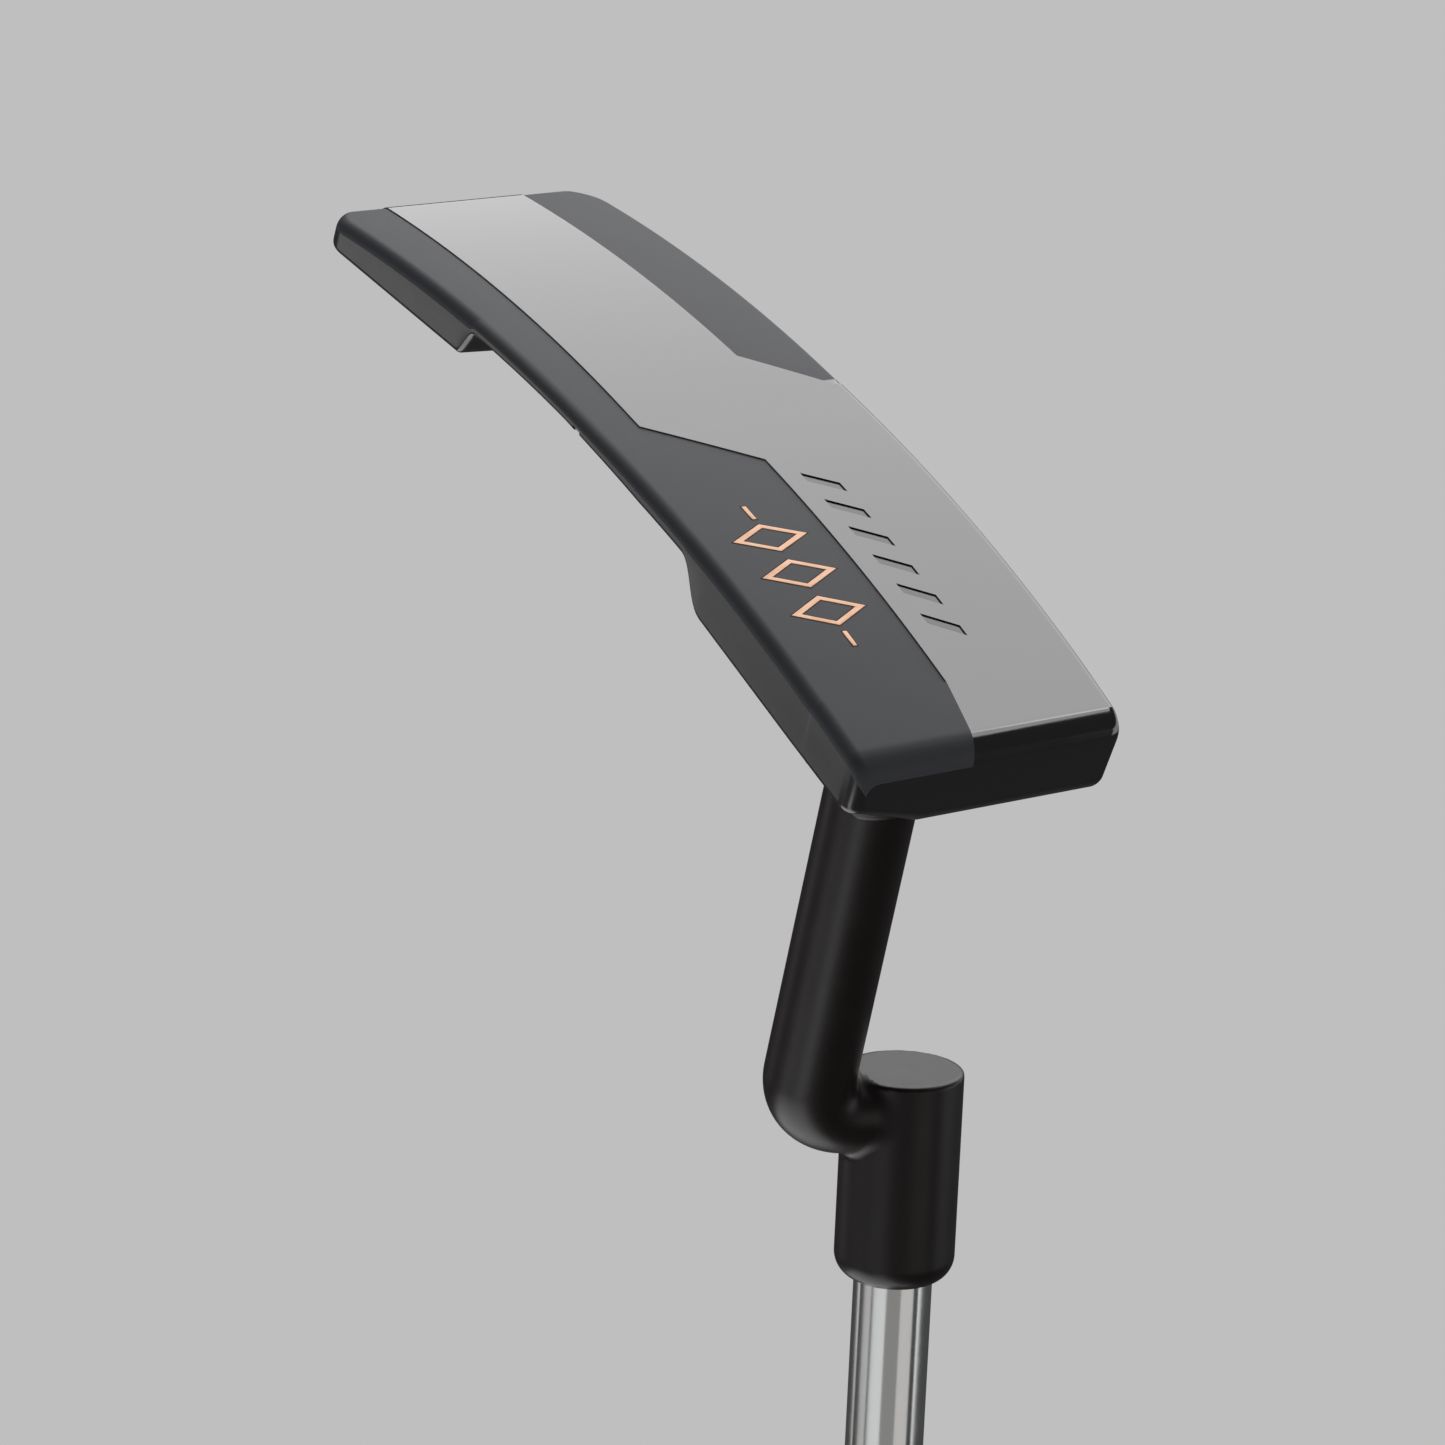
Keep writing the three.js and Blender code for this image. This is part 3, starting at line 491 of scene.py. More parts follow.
def evaluated(obj):
    """Turns the object's modifiers into its mesh."""
    mesh = bpy.data.meshes.new_from_object(obj.evaluated_get(bpy.context.evaluated_depsgraph_get()))
    obj.modifiers.clear()
    old = obj.data
    obj.data = mesh
    bpy.data.meshes.remove(old)


def cut(obj, cutters):
    """Takes the cutters out of the object and deletes them."""
    for cutter in cutters:
        step = obj.modifiers.new("cut", "BOOLEAN")
        step.operation = "DIFFERENCE"
        step.solver = "EXACT"
        step.material_mode = "TRANSFER"
        step.object = cutter
    evaluated(obj)
    for cutter in cutters:
        bpy.data.objects.remove(cutter)


def arc(cx, cy, rx, ry, start, end):
    out = []
    for i in range(EDGE_STEPS + 1):
        a = math.radians(start + (end - start) * i / EDGE_STEPS)
        out.append((cx + rx * math.cos(a), cy + ry * math.sin(a)))
    return out


def clamp(value):
    return max(0.0, min(1.0, value))


def ease(x, start, length):
    """Ramp from 0 to 1 whose slope and bend are nil at both ends."""
    t = clamp((x - start) / length)
    return t ** 3 * (t * (6 * t - 15) + 10)


def smoothstep(x, low, high):
    t = clamp((x - low) / (high - low))
    return t * t * (3 - 2 * t)


# ---------------------------------------------------------------- head
def round_in(radius, distance):
    """How far a rounded corner draws in, at a distance from its end."""
    if distance >= radius:
        return 0.0
    return radius - math.sqrt(radius ** 2 - (radius - distance) ** 2)


def sole_z(x):
    reach = max(0.0, abs(x) - SOLE_FLAT / 2)
    return CAMBER_RADIUS - math.sqrt(CAMBER_RADIUS ** 2 - reach ** 2)


def heel_block(x):
    return ease(-x, -HEEL_BLOCK_START, HEEL_BLOCK_RAMP)


def toe_block(x):
    return ease(x, TOE_BLOCK_START, TOE_BLOCK_RAMP)


def flange_thickness(x):
    return TOE_FLANGE + (HEEL_FLANGE - TOE_FLANGE) * clamp((FLANGE_TAPER_START - x) / FLANGE_TAPER_RUN)


def back_top_z(x):
    flange = sole_z(x) + flange_thickness(x)
    heel = HEEL_BLOCK_Z + HEEL_BLOCK_SLOPE * (HEEL_BLOCK_START - HEEL_BLOCK_RAMP - x)
    toe = TOE_BLOCK_Z + TOE_BLOCK_SLOPE * (x - TOE_BLOCK_START - TOE_BLOCK_RAMP)
    return flange + (heel - flange) * heel_block(x) + (toe - flange) * toe_block(x)


def block_rise(x):
    heel = (HEEL_BLOCK_RISE - FLANGE_RISE) * heel_block(x)
    toe = (TOE_BLOCK_RISE - FLANGE_RISE) * toe_block(x)
    return FLANGE_RISE + heel + toe


def topline_z(x):
    heel = HEEL_END_Z + HEEL_SLOPE * (x + HALF)
    toe = TOPLINE_Z - round_in(TOE_CORNER_RADIUS, HALF - x)
    return min(TOPLINE_Z, heel, toe)


def bumper_z(x, low):
    if x < 0:
        raised = low + (TOPLINE_Z - low) * ease(-x, -NECK_PAD_START, BUMPER_RAMP)
    else:
        raised = low + (TOE_BUMPER_Z - low) * ease(x, TOE_BUMPER_START, BUMPER_RAMP)
    return min(raised, topline_z(x))


def back_boundary(x):
    """Back edge of the polished land, where it meets the blasted recess."""
    t = clamp((BACK_SLANT_START - x) / BACK_SLANT_RUN)
    drift = FINISH_DRIFT * min(0.0, x - RECESS_HEEL_END)
    return TOE_LAND_BACK + (HEEL_LAND_BACK - TOE_LAND_BACK) * t + TOE_LAND_DRIFT * max(0.0, x) + drift


def face_boundary(x, edge):
    """Front edge of the polished land, which runs out to the face's edge towards the heel."""
    t = clamp((FACE_SLANT_START - x) / FACE_SLANT_RUN)
    return min(TOE_LAND_FACE + (edge - TOE_LAND_FACE) * t, edge)


def step_down(y, high, low, radius):
    """Rounded step to the back, with a fillet at its foot."""
    rise = min(radius, (high - low) / 2)
    fillet = min(STEP_RADIUS, (high - low) / 2)
    top = arc(y + radius, high - rise, radius, rise, 90, 180)
    foot = arc(y - STEP_RADIUS, low + fillet, STEP_RADIUS, fillet, 0, -90)
    return top + [(fy - STEP_DRAFT, fz) for fy, fz in foot]


def head_ring(x):
    """Section of the head across x."""
    gap = HALF - abs(x)
    edge, end_top, back_corner, face_corner = HEEL_ROUNDING if x < 0 else TOE_ROUNDING
    back = BACK_Y + round_in(back_corner, gap)
    sole = sole_z(x) + round_in(edge, gap)
    drop = round_in(end_top, gap)
    inset = round_in(face_corner, gap)

    def face_at(z):
        return FACE_Y - z * math.tan(LOFT) - inset

    recess = RECESS_DEPTH if x > RECESS_HEEL_END else 0.0
    land_edge = face_at(sole) - FACE_EDGE_RADIUS - LAND_MARGIN
    land = face_boundary(x, land_edge)
    face_recess = RECESS_DEPTH if land < land_edge - 1e-6 else 0.0
    ridge = back_boundary(x)
    top = topline_z(x) - drop
    block_back = back_top_z(x) - min(drop, max(0.0, back_top_z(x) - sole_z(x) - 2 * edge))
    block_front = min(block_back + block_rise(x), top)
    bumper = max(min(bumper_z(x, block_front), top), block_front)
    top_back = face_at(top) - TOPLINE_WIDTH
    back_top = min(TOP_EDGE_RADIUS, (block_back - sole - recess) / 3)
    back_foot = min(BACK_EDGE_RADIUS, (block_back - sole - recess) / 2)
    ring = arc(back + BACK_EDGE_RADIUS, sole + recess + back_foot, BACK_EDGE_RADIUS, back_foot, 180, 270)
    ring += [(ridge - RECESS_WALL, sole + recess), (ridge, sole), (land, sole)]
    ring += [(min(land + RECESS_WALL, land_edge + LAND_MARGIN / 2), sole + face_recess)]
    ring += arc(face_at(sole) - FACE_EDGE_RADIUS, sole + face_recess + FACE_EDGE_RADIUS,
                FACE_EDGE_RADIUS, FACE_EDGE_RADIUS, 270, 360)
    ring += arc(face_at(top) - TOP_EDGE_RADIUS, top - TOP_EDGE_RADIUS,
                TOP_EDGE_RADIUS, TOP_EDGE_RADIUS, 0, 90)
    ring += step_down(top_back, top, bumper, STEP_RADIUS)
    ring += step_down(BUMPER_Y, bumper, block_front, BUMPER_RADIUS)
    ring += arc(back + TOP_EDGE_RADIUS, block_back - back_top, TOP_EDGE_RADIUS, back_top, 90, 180)
    return ring


def slanted(x, y):
    """The heel end leans a little, seen from below."""
    share = clamp((-x - HALF + SLANT_REACH) / SLANT_REACH)
    return x + HEEL_END_SLANT * (y - FACE_Y / 2) * share


END_REACH = 6.2
END_STEPS = 30
RAMP_STEPS = 14
CORNER_STEPS = 20
STATION_PITCH = 0.75
STATION_GAP = 0.004
STATION_CLEAR = 0.1            # room kept round the exact stations
RECESS_REACH = 1.4             # less land than this before the face is taken as none


def quarter(reach, steps):
    return [reach * (1 - math.cos(math.pi / 2 * i / steps)) for i in range(steps + 1)]


def ramp(start, run):
    return [start + i / RAMP_STEPS * run for i in range(RAMP_STEPS + 1)]


def head_stations():
    """Where the head's sections stand: close together on ends, ramps and corners."""
    ends = quarter(END_REACH, END_STEPS)
    xs = [g - HALF for g in ends] + [HALF - g for g in ends]
    xs += ramp(TOE_BLOCK_START, TOE_BLOCK_RAMP) + ramp(HEEL_BLOCK_START, -HEEL_BLOCK_RAMP)
    xs += ramp(TOE_BUMPER_START, BUMPER_RAMP) + ramp(NECK_PAD_START, -BUMPER_RAMP)
    xs += [HALF - g for g in quarter(TOE_CORNER_RADIUS, CORNER_STEPS)]
    xs += [-HALF + STATION_PITCH * i for i in range(int(HEAD_LENGTH / STATION_PITCH) + 1)]
    xs += [(TOPLINE_Z - HEEL_END_Z) / HEEL_SLOPE - HALF]
    exact = [
        RECESS_HEEL_END, RECESS_HEEL_END + RECESS_WALL, BACK_SLANT_START, BACK_SLANT_START - BACK_SLANT_RUN,
        FACE_SLANT_START, FACE_SLANT_START - FACE_SLANT_RUN, -SOLE_FLAT / 2, SOLE_FLAT / 2]
    kept = []
    for x in sorted(set(round(v, 4) for v in xs)):
        clear = all(abs(x - e) > STATION_CLEAR for e in exact)
        if clear and (not kept or x - kept[-1] > STATION_GAP):
            kept.append(x)
    return sorted(kept + exact)


def head_blank(name, mats):
    """Head without its cuts, in its three finishes."""
    stations = head_stations()
    rings = [[(slanted(x, y), y, z) for y, z in head_ring(x)] for x in stations]
    ridge = EDGE_STEPS + 1
    end_face = ridge + 3 + EDGE_STEPS + 1
    blasted, polished, satin = 1, 0, 2

    def finish(r, i):
        x = (stations[r] + stations[min(r + 1, len(stations) - 1)]) / 2
        if i == ridge + 1:
            return polished
        if 0 <= i <= ridge:
            return blasted
        if ridge + 1 < i < end_face - 1:
            recessed = face_boundary(x, FACE_Y) < FACE_Y - RECESS_REACH
            return blasted if recessed else polished
        return satin

    blank = loft(name, rings, mats, finish)
    for face in blank.data.polygons:
        if face.center.x < (-HALF + 1) * MM and len(face.vertices) > 4:
            face.material_index = polished
    return blank


def pocket_outline(i):
    x = POCKET_START[0] - i * POCKET_PITCH
    y = POCKET_START[1] + POCKET_DRIFT * i * POCKET_PITCH
    return [(x, y), (x + POCKET_SHEAR, y + POCKET_REACH),
            (x + POCKET_SHEAR - POCKET_WIDTH, y + POCKET_REACH), (x - POCKET_WIDTH, y)]


def pocket_cutters():
    out = []
    for i in range(POCKET_COUNT):
        name = f"cutter_pocket_{i}"
        out.append(prism(name, pocket_outline(i), -CUTTER_OVER, POCKET_DEPTH, [POCKET], draped=True))
    return out


def cavity_cutter():
    w, r = CAVITY_LENGTH / 2, CAVITY_CORNER
    corners = [(w - r, CAVITY_Z + r, -90), (w - r, CAVITY_TOP_Z - r, 0),
               (-w + r, CAVITY_TOP_Z - r, 90), (-w + r, CAVITY_Z + r, 180)]
    outline = [p for cx, cz, a in corners for p in arc(cx, cz, r, r, a, a + 90)]
    floor = FACE_Y - TOPLINE_Z * math.tan(LOFT) - TOPLINE_WIDTH + CAVITY_DEPTH
    cutter = prism("cutter_cavity", outline, 0, CAVITY_DEPTH + CAVITY_REACH, [CUT])
    turn = Matrix.Rotation(math.pi / 2, 4, "X")
    cutter.data.transform(Matrix.Translation((0, floor * MM, 0)) @ turn)
    return cutter


def flange_z(y):
    start = BACK_Y + TOP_EDGE_RADIUS
    end = BUMPER_Y - STEP_RADIUS
    return flange_thickness(SIGHT_X) + FLANGE_RISE * clamp((y - start) / (end - start))


SIGHT_FRONT = FACE_Y - TOPLINE_Z * math.tan(LOFT) - TOPLINE_WIDTH - SIGHT_END


def along_flange(name, start, end, low, high, width, mats):
    """Bar that follows the top of the flange, between two depths below it."""
    ys = [start, BACK_Y + TOP_EDGE_RADIUS, BUMPER_Y - STEP_RADIUS, end]
    outline = [(y, flange_z(y) - low) for y in ys] + [(y, flange_z(y) - high) for y in reversed(ys)]
    bar = prism(name, outline, SIGHT_X - width / 2, SIGHT_X + width / 2, mats)
    bar.data.transform(Matrix(((0, 0, 1, 0), (1, 0, 0, 0), (0, 1, 0, 0), (0, 0, 0, 1))))
    return bar


def rhombus(i, line):
    """Outer and inner corners of an open rhombus."""
    x = ORNAMENT_AT[0] - ORNAMENT_LENGTH / 2 - i * (ORNAMENT_LENGTH + ORNAMENT_GAP)
    y = ORNAMENT_AT[1]
    slant = math.hypot(ORNAMENT_LENGTH, ORNAMENT_WIDTH)
    grow = (line - ORNAMENT_LINE) / 2
    a = ORNAMENT_LENGTH / 2 + grow * slant / ORNAMENT_WIDTH
    b = ORNAMENT_WIDTH / 2 + grow * slant / ORNAMENT_LENGTH
    c, d = a - line * slant / ORNAMENT_WIDTH, b - line * slant / ORNAMENT_LENGTH
    return [[(x + w, y), (x, y + h), (x - w, y), (x, y - h)] for w, h in ((a, b), (c, d))]


def bars():
    row = ORNAMENT_COUNT * ORNAMENT_LENGTH + (ORNAMENT_COUNT - 1) * ORNAMENT_GAP
    toe = ORNAMENT_AT[0] + ORNAMENT_BAR_GAP
    heel = ORNAMENT_AT[0] - row - ORNAMENT_BAR_GAP
    return [("toe", toe, toe + ORNAMENT_BAR), ("heel", heel - ORNAMENT_BAR, heel)]


def ornament(room, low, high, mats, name):
    """The ornament's pieces, or their cutters when there is room round them."""
    out = []
    line = ORNAMENT_LINE + 2 * room
    y = ORNAMENT_AT[1]
    low, high = RECESS_DEPTH + low, RECESS_DEPTH + high
    for i in range(ORNAMENT_COUNT):
        outer, inner = rhombus(i, line)
        ring = prism(f"{name}_rhombus_{i + 1}", outer, low, high, mats, draped=True)
        cut(ring, [prism("cutter_inner", inner, low - CUTTER_OVER, high + CUTTER_OVER, mats, draped=True)])
        out.append(ring)
    for side, start, end in bars():
        box = [(start - room, y - line / 2), (end + room, y - line / 2),
               (end + room, y + line / 2), (start - room, y + line / 2)]
        out.append(prism(f"{name}_bar_{side}", box, low, high, mats, draped=True))
    return out


POST_PLACE = (Matrix.Translation((POST_X * MM, POST_Y * MM, TOPLINE_Z * MM))
              @ Matrix.Rotation(-POST_LEAN, 4, "X"))
SHAFT_PLACE = (Matrix.Translation((SOCKET_X * MM, SOCKET_Y * MM, SOCKET_Z * MM))
               @ Matrix.Rotation(LIE - math.pi / 2, 4, "Y"))


def seat_cutter():
    low, high, wide = -POST_SEAT_DEPTH, SEAT_REACH, POST_RADIUS + SEAT_SEAM
    outline = [(SEAT_CORE, low), (wide, low), (wide, high), (SEAT_CORE, high)]
    cutter = turned("cutter_seat", outline, BORE_SIDES, [CUT])
    cutter.data.transform(POST_PLACE)
    return cutter


SAME_WAY = 0.9                 # cosine past which two faces are taken to lie the same way
FIELD_WAY = 0.8
INTO_FACE = 0.02               # how far a corner is drawn to its face's middle before it is looked up


def keep_normals(obj, reference, own_slots):
    """Faces left from the uncut body take its normals, so that cuts don't bend the light around them."""
    source = reference.data
    tree = BVHTree.FromPolygons([v.co for v in source.vertices], [tuple(p.vertices) for p in source.polygons])
    corner = np.zeros(len(source.loops) * 3)
    source.corner_normals.foreach_get("vector", corner)
    corner = corner.reshape(-1, 3)
    mesh = obj.data
    shade(mesh, SMOOTH_ANGLE)
    normals = np.zeros(len(mesh.loops) * 3)
    mesh.corner_normals.foreach_get("vector", normals)
    normals = normals.reshape(-1, 3)
    for face in mesh.polygons:
        if face.material_index >= own_slots:
            continue
        centre = face.center
        for loop in face.loop_indices:
            co = mesh.vertices[mesh.loops[loop].vertex_index].co
            near = co.lerp(centre, INTO_FACE)
            spot, normal, hit, _ = tree.find_nearest(near)
            if hit is None or normal.dot(face.normal) < SAME_WAY:
                continue
            home = source.polygons[hit]
            weights = poly_3d_calc([source.vertices[v].co for v in home.vertices], spot)
            blend = sum((w * corner[k] for w, k in zip(weights, home.loop_indices)), np.zeros(3))
            normals[loop] = blend / np.linalg.norm(blend)
    mesh.normals_split_custom_set(normals.tolist())


def make_head():
    """Makes the cut head, and returns the uncut one, which the weld bead lies on."""
    mats = [GLOSS, BLAST, BODY]
    uncut = head_blank("uncut", mats)
    head = head_blank("head_body", mats)
    cutters = pocket_cutters() + [cavity_cutter(), seat_cutter()]
    cutters += ornament(ORNAMENT_SEAM, -ORNAMENT_OVER, ORNAMENT_DEPTH, [CUT], "cutter")
    cutters += [along_flange("cutter_sight", BACK_Y - CUTTER_OVER, SIGHT_FRONT, SIGHT_DEPTH, -3 * CUTTER_OVER,
                             SIGHT_WIDTH, [CUT])]
    cut(head, cutters)
    keep_normals(head, uncut, len(mats))
    show(head, "putter_head")
    return uncut


uncut_head = make_head()

for piece in ornament(0, -ORNAMENT_PROUD, ORNAMENT_DEPTH - ORNAMENT_SEAM, [COPPER], "inlay"):
    rounded = piece.modifiers.new("edge", "BEVEL")
    rounded.width = ORNAMENT_BEVEL * MM
    rounded.segments = 3
    rounded.limit_method = "ANGLE"
    evaluated(piece)
    shade(piece.data, INLAY_SMOOTH)
    show(piece, piece.name.replace("inlay", "ornament"))

paint = along_flange("sight_paint", BACK_Y + PAINT_START, SIGHT_FRONT - PAINT_SEAM,
                     SIGHT_DEPTH - PAINT_SEAM / 2, SIGHT_DEPTH - SIGHT_FILL,
                     SIGHT_WIDTH - 2 * PAINT_SEAM, [ENAMEL])
show(paint, "sight_line_fill")


# ---------------------------------------------------------------- neck
def neck_path():
    """Post, bend and bridge: start, bend centre, plane vectors, bend angle, end."""
    up = np.array([0, math.sin(POST_LEAN), math.cos(POST_LEAN)])
    base = np.array([POST_X, POST_Y, TOPLINE_Z], float)
    corner = base + up * (BRIDGE_Z - TOPLINE_Z) / up[2]
    end = np.array([SOCKET_X - (BRIDGE_Z - SOCKET_Z) / math.tan(LIE), SOCKET_Y, BRIDGE_Z])
    out = (end - corner) / np.linalg.norm(end - corner)
    side = np.cross(up, out)
    side /= np.linalg.norm(side)
    inward = np.cross(side, up)
    turn = math.acos(float(up @ out))
    start = corner - up * BEND_RADIUS * math.tan(turn / 2)
    return base, up, out, side, inward, turn, start, start + inward * BEND_RADIUS, end


BASE, UP, OUT, SIDE, INWARD, TURN, BEND_START, BEND_CENTRE, BRIDGE_END = neck_path()
AXIS = np.array([-math.cos(LIE), 0, math.sin(LIE)])
SOCKET_AT = np.array([SOCKET_X, SOCKET_Y, SOCKET_Z])


def bend_point(angle):
    return BEND_CENTRE + BEND_RADIUS * (-INWARD * math.cos(angle) + UP * math.sin(angle))


def segment_distance(p, a, b):
    ab = b - a
    t = np.clip(((p - a) @ ab) / (ab @ ab), 0, 1)
    return np.linalg.norm(p - a - t[:, None] * ab, axis=1)


def tube_distance(p):
    """Distance to the post, bend and bridge."""
    post = segment_distance(p, BASE - UP * (POST_SEAT_DEPTH + NECK_TAIL_OVER), BEND_START)
    q = p - BEND_CENTRE
    u, v, w = q @ -INWARD, q @ UP, q @ SIDE
    angle = np.clip(np.arctan2(v, u), 0, TURN)
    nearest = np.stack([np.cos(angle), np.sin(angle)], 1) * BEND_RADIUS
    bend = np.sqrt((u - nearest[:, 0]) ** 2 + (v - nearest[:, 1]) ** 2 + w ** 2)
    bridge = segment_distance(p, bend_point(TURN), BRIDGE_END)
    return np.minimum(np.minimum(post, bend), bridge) - POST_RADIUS


def socket_distance(p):
    q = p - SOCKET_AT
    t = q @ AXIS
    rho = np.linalg.norm(q - t[:, None] * AXIS, axis=1)
    half = SOCKET_LENGTH / 2
    edge = np.where(t < half, SOCKET_EDGE, SOCKET_TOP_RADIUS)
    a = rho - (SOCKET_RADIUS - edge)
    b = np.abs(t - half) - (half - edge)
    return np.hypot(np.maximum(a, 0), np.maximum(b, 0)) + np.minimum(np.maximum(a, b), 0) - edge


def neck_distance(p):
    """Smooth union of bar and socket, kept flat across the socket's lower end."""
    a, b = tube_distance(p), socket_distance(p)
    h = np.clip(0.5 + 0.5 * (b - a) / NECK_FILLET, 0, 1)
    joined = b * (1 - h) + a * h - NECK_FILLET * h * (1 - h)
    q = p - SOCKET_AT
    t = q @ AXIS
    rho = np.linalg.norm(q - t[:, None] * AXIS, axis=1)
    return np.where(rho < SOCKET_RADIUS - SOCKET_EDGE, np.maximum(joined, -t), joined)


def gradient(field, p):
    step = 0.01
    out = np.zeros_like(p)
    for k in range(3):
        move = np.zeros(3)
        move[k] = step
        out[:, k] = (field(p + move) - field(p - move)) / (2 * step)
    return out / np.maximum(np.linalg.norm(out, axis=1, keepdims=True), 1e-9)


def join_neck():
    """Post, bend and socket as separate solids, joined and remeshed."""
    outline = [(0, -NECK_TAIL), (POST_RADIUS, -NECK_TAIL), (POST_RADIUS, RAW_POST), (0, RAW_POST)]
    neck = turned("neck_body", outline, POST_SIDES, [NECK])
    neck.data.transform(POST_PLACE)
    outline = [(0, 0), (SOCKET_RADIUS, 0), (SOCKET_RADIUS, SOCKET_LENGTH), (0, SOCKET_LENGTH)]
    socket = turned("socket_raw", outline, SOCKET_SIDES, [NECK])
    socket.data.transform(SHAFT_PLACE)
    stops = []
    for i in range(BEND_STEPS + 1):
        a = TURN * i / BEND_STEPS
        stops.append((bend_point(a), UP * math.cos(a) + INWARD * math.sin(a)))
    stops.append((BRIDGE_END, OUT))
    rings = []
    for point, along in stops:
        radial = np.cross(along, SIDE)
        rings.append([tuple(point + POST_RADIUS * (SIDE * math.cos(b) + radial * math.sin(b)))
                      for b in (2 * math.pi * k / POST_SIDES for k in range(POST_SIDES))])
    bend = loft("bend_raw", rings, [NECK])
    for other in (socket, bend):
        step = neck.modifiers.new("join", "BOOLEAN")
        step.operation = "UNION"
        step.solver = "EXACT"
        step.object = other
    fine = neck.modifiers.new("fine", "REMESH")
    fine.mode = "VOXEL"
    fine.voxel_size = NECK_VOXEL * MM
    evaluated(neck)
    for other in (socket, bend):
        bpy.data.objects.remove(other)
    return neck


def settle(mesh):
    """Moves the skin onto the blended form."""
    p = np.zeros(len(mesh.vertices) * 3)
    mesh.vertices.foreach_get("co", p)
    p = p.reshape(-1, 3) / MM
    for _ in range(NECK_ROUNDS):
        p -= gradient(neck_distance, p) * neck_distance(p)[:, None]
    mesh.vertices.foreach_set("co", (p * MM).ravel())
    mesh.update()


def trim_at_seat(mesh):
    trim = bmesh.new()
    trim.from_mesh(mesh)
    seat = POST_PLACE @ Vector((0, 0, -POST_SEAT_DEPTH * MM))
    axis = Vector(UP)
    geometry = trim.verts[:] + trim.edges[:] + trim.faces[:]
    bmesh.ops.bisect_plane(trim, geom=geometry, plane_co=seat, plane_no=axis, clear_inner=True)
    rim = [e for e in trim.edges if e.is_boundary]
    bmesh.ops.contextual_create(trim, geom=rim)
    trim.to_mesh(mesh)
    trim.free()


def make_neck():
    """Post, bend, bridge and socket as one blended skin."""
    neck = join_neck()
    settle(neck.data)
    trim_at_seat(neck.data)
    wide = TIP_RADIUS + BORE_SEAM
    outline = [(0, SOCKET_FLOOR), (wide, SOCKET_FLOOR), (wide, BORE_REACH), (0, BORE_REACH)]
    bore = turned("cutter_bore", outline, BORE_SIDES, [CUT])
    bore.data.transform(SHAFT_PLACE)
    cut(neck, [bore])
    mesh = neck.data
    mesh.materials.clear()
    mesh.materials.append(NECK)
    shade(mesh, NECK_SMOOTH)
    smooth_by_field(mesh)
    show(neck, "plumber_neck")


def smooth_by_field(mesh):
    """Normals straight from the blended form, except on the bore and the cut seat."""
    p = np.zeros(len(mesh.vertices) * 3)
    mesh.vertices.foreach_get("co", p)
    p = p.reshape(-1, 3) / MM
    exact = gradient(neck_distance, p)
    normals = np.zeros(len(mesh.loops) * 3)
    mesh.corner_normals.foreach_get("vector", normals)
    normals = normals.reshape(-1, 3)
    for face in mesh.polygons:
        flat = np.array(face.normal)
        for loop in face.loop_indices:
            n = exact[mesh.loops[loop].vertex_index]
            if n @ flat > FIELD_WAY:
                normals[loop] = n
    mesh.normals_split_custom_set(normals.tolist())


make_neck()


ABOVE_HEAD = 0.06              # metres; the height that rays are cast down from


def make_bead():
    """Small fillet of weld between the post and the top of the head."""
    skin = uncut_head.data
    tree = BVHTree.FromPolygons([v.co for v in skin.vertices], [tuple(f.vertices) for f in skin.polygons])
    rings = []
    for k in range(BEAD_SIDES):
        a = 2 * math.pi * k / BEAD_SIDES
        ring = []
        for i in range(BEAD_STEPS + 1):
            share = i / BEAD_STEPS
            r = POST_RADIUS - BEAD_OVERLAP + BEAD_WIDTH * share
            spot = POST_PLACE @ Vector((r * math.cos(a) * MM, r * math.sin(a) * MM, 0))
            hit, _, _, _ = tree.ray_cast(Vector((spot.x, spot.y, ABOVE_HEAD)), Vector((0, 0, -1)))
            lift = BEAD_HEIGHT * (1 - math.sqrt(max(0.0, 1 - (1 - share) ** 2)))
            ripple = BEAD_RIPPLE * math.sin(a * BEAD_RIPPLES) * math.sin(math.pi * share)
            ring.append((hit.x / MM, hit.y / MM, hit.z / MM + lift + ripple + BEAD_LIFT))
        ring.append((ring[-1][0], ring[-1][1], ring[-1][2] - BEAD_ROOT))
        ring.append((ring[0][0], ring[0][1], ring[0][2] - BEAD_HEIGHT - BEAD_ROOT))
        rings.append(ring)
    bead = hoop("neck_bead", rings, [NECK], smooth=NECK_SMOOTH)
    show(bead, "neck_weld_bead")


make_bead()
bpy.data.objects.remove(uncut_head)


# ---------------------------------------------------------------- shaft and grip
SHAFT_START = SOCKET_FLOOR + CLEARANCE
BUTT_END = CLUB_LENGTH - SOCKET_Z / math.sin(LIE)
CAP_START = BUTT_END - CAP_LENGTH
SHAFT_END = CAP_START - CLEARANCE
GRIP_START = BUTT_END - GRIP_LENGTH


def on_shaft(obj):
    obj.data.transform(SHAFT_PLACE)
    return obj


def make_shaft():
    rise = (BUTT_RADIUS - TIP_RADIUS) / SHAFT_STEPS
    outside = [(TIP_RADIUS, SHAFT_START)]
    for i in range(SHAFT_STEPS):
        r = TIP_RADIUS + i * rise
        z = SHAFT_START + TIP_STRAIGHT + i * STEP_PITCH
        for k in range(STEP_POINTS):
            t = k / (STEP_POINTS - 1)
            outside.append((r + rise * t * t * (3 - 2 * t), z + STEP_CHAMFER * t))
    outside.append((BUTT_RADIUS, SHAFT_END))
    inside = [(r - SHAFT_WALL, z) for r, z in reversed(outside)]
    shaft = turned("shaft_tube", outside + inside, SHAFT_SIDES, [CHROME])
    show(on_shaft(shaft), "shaft")


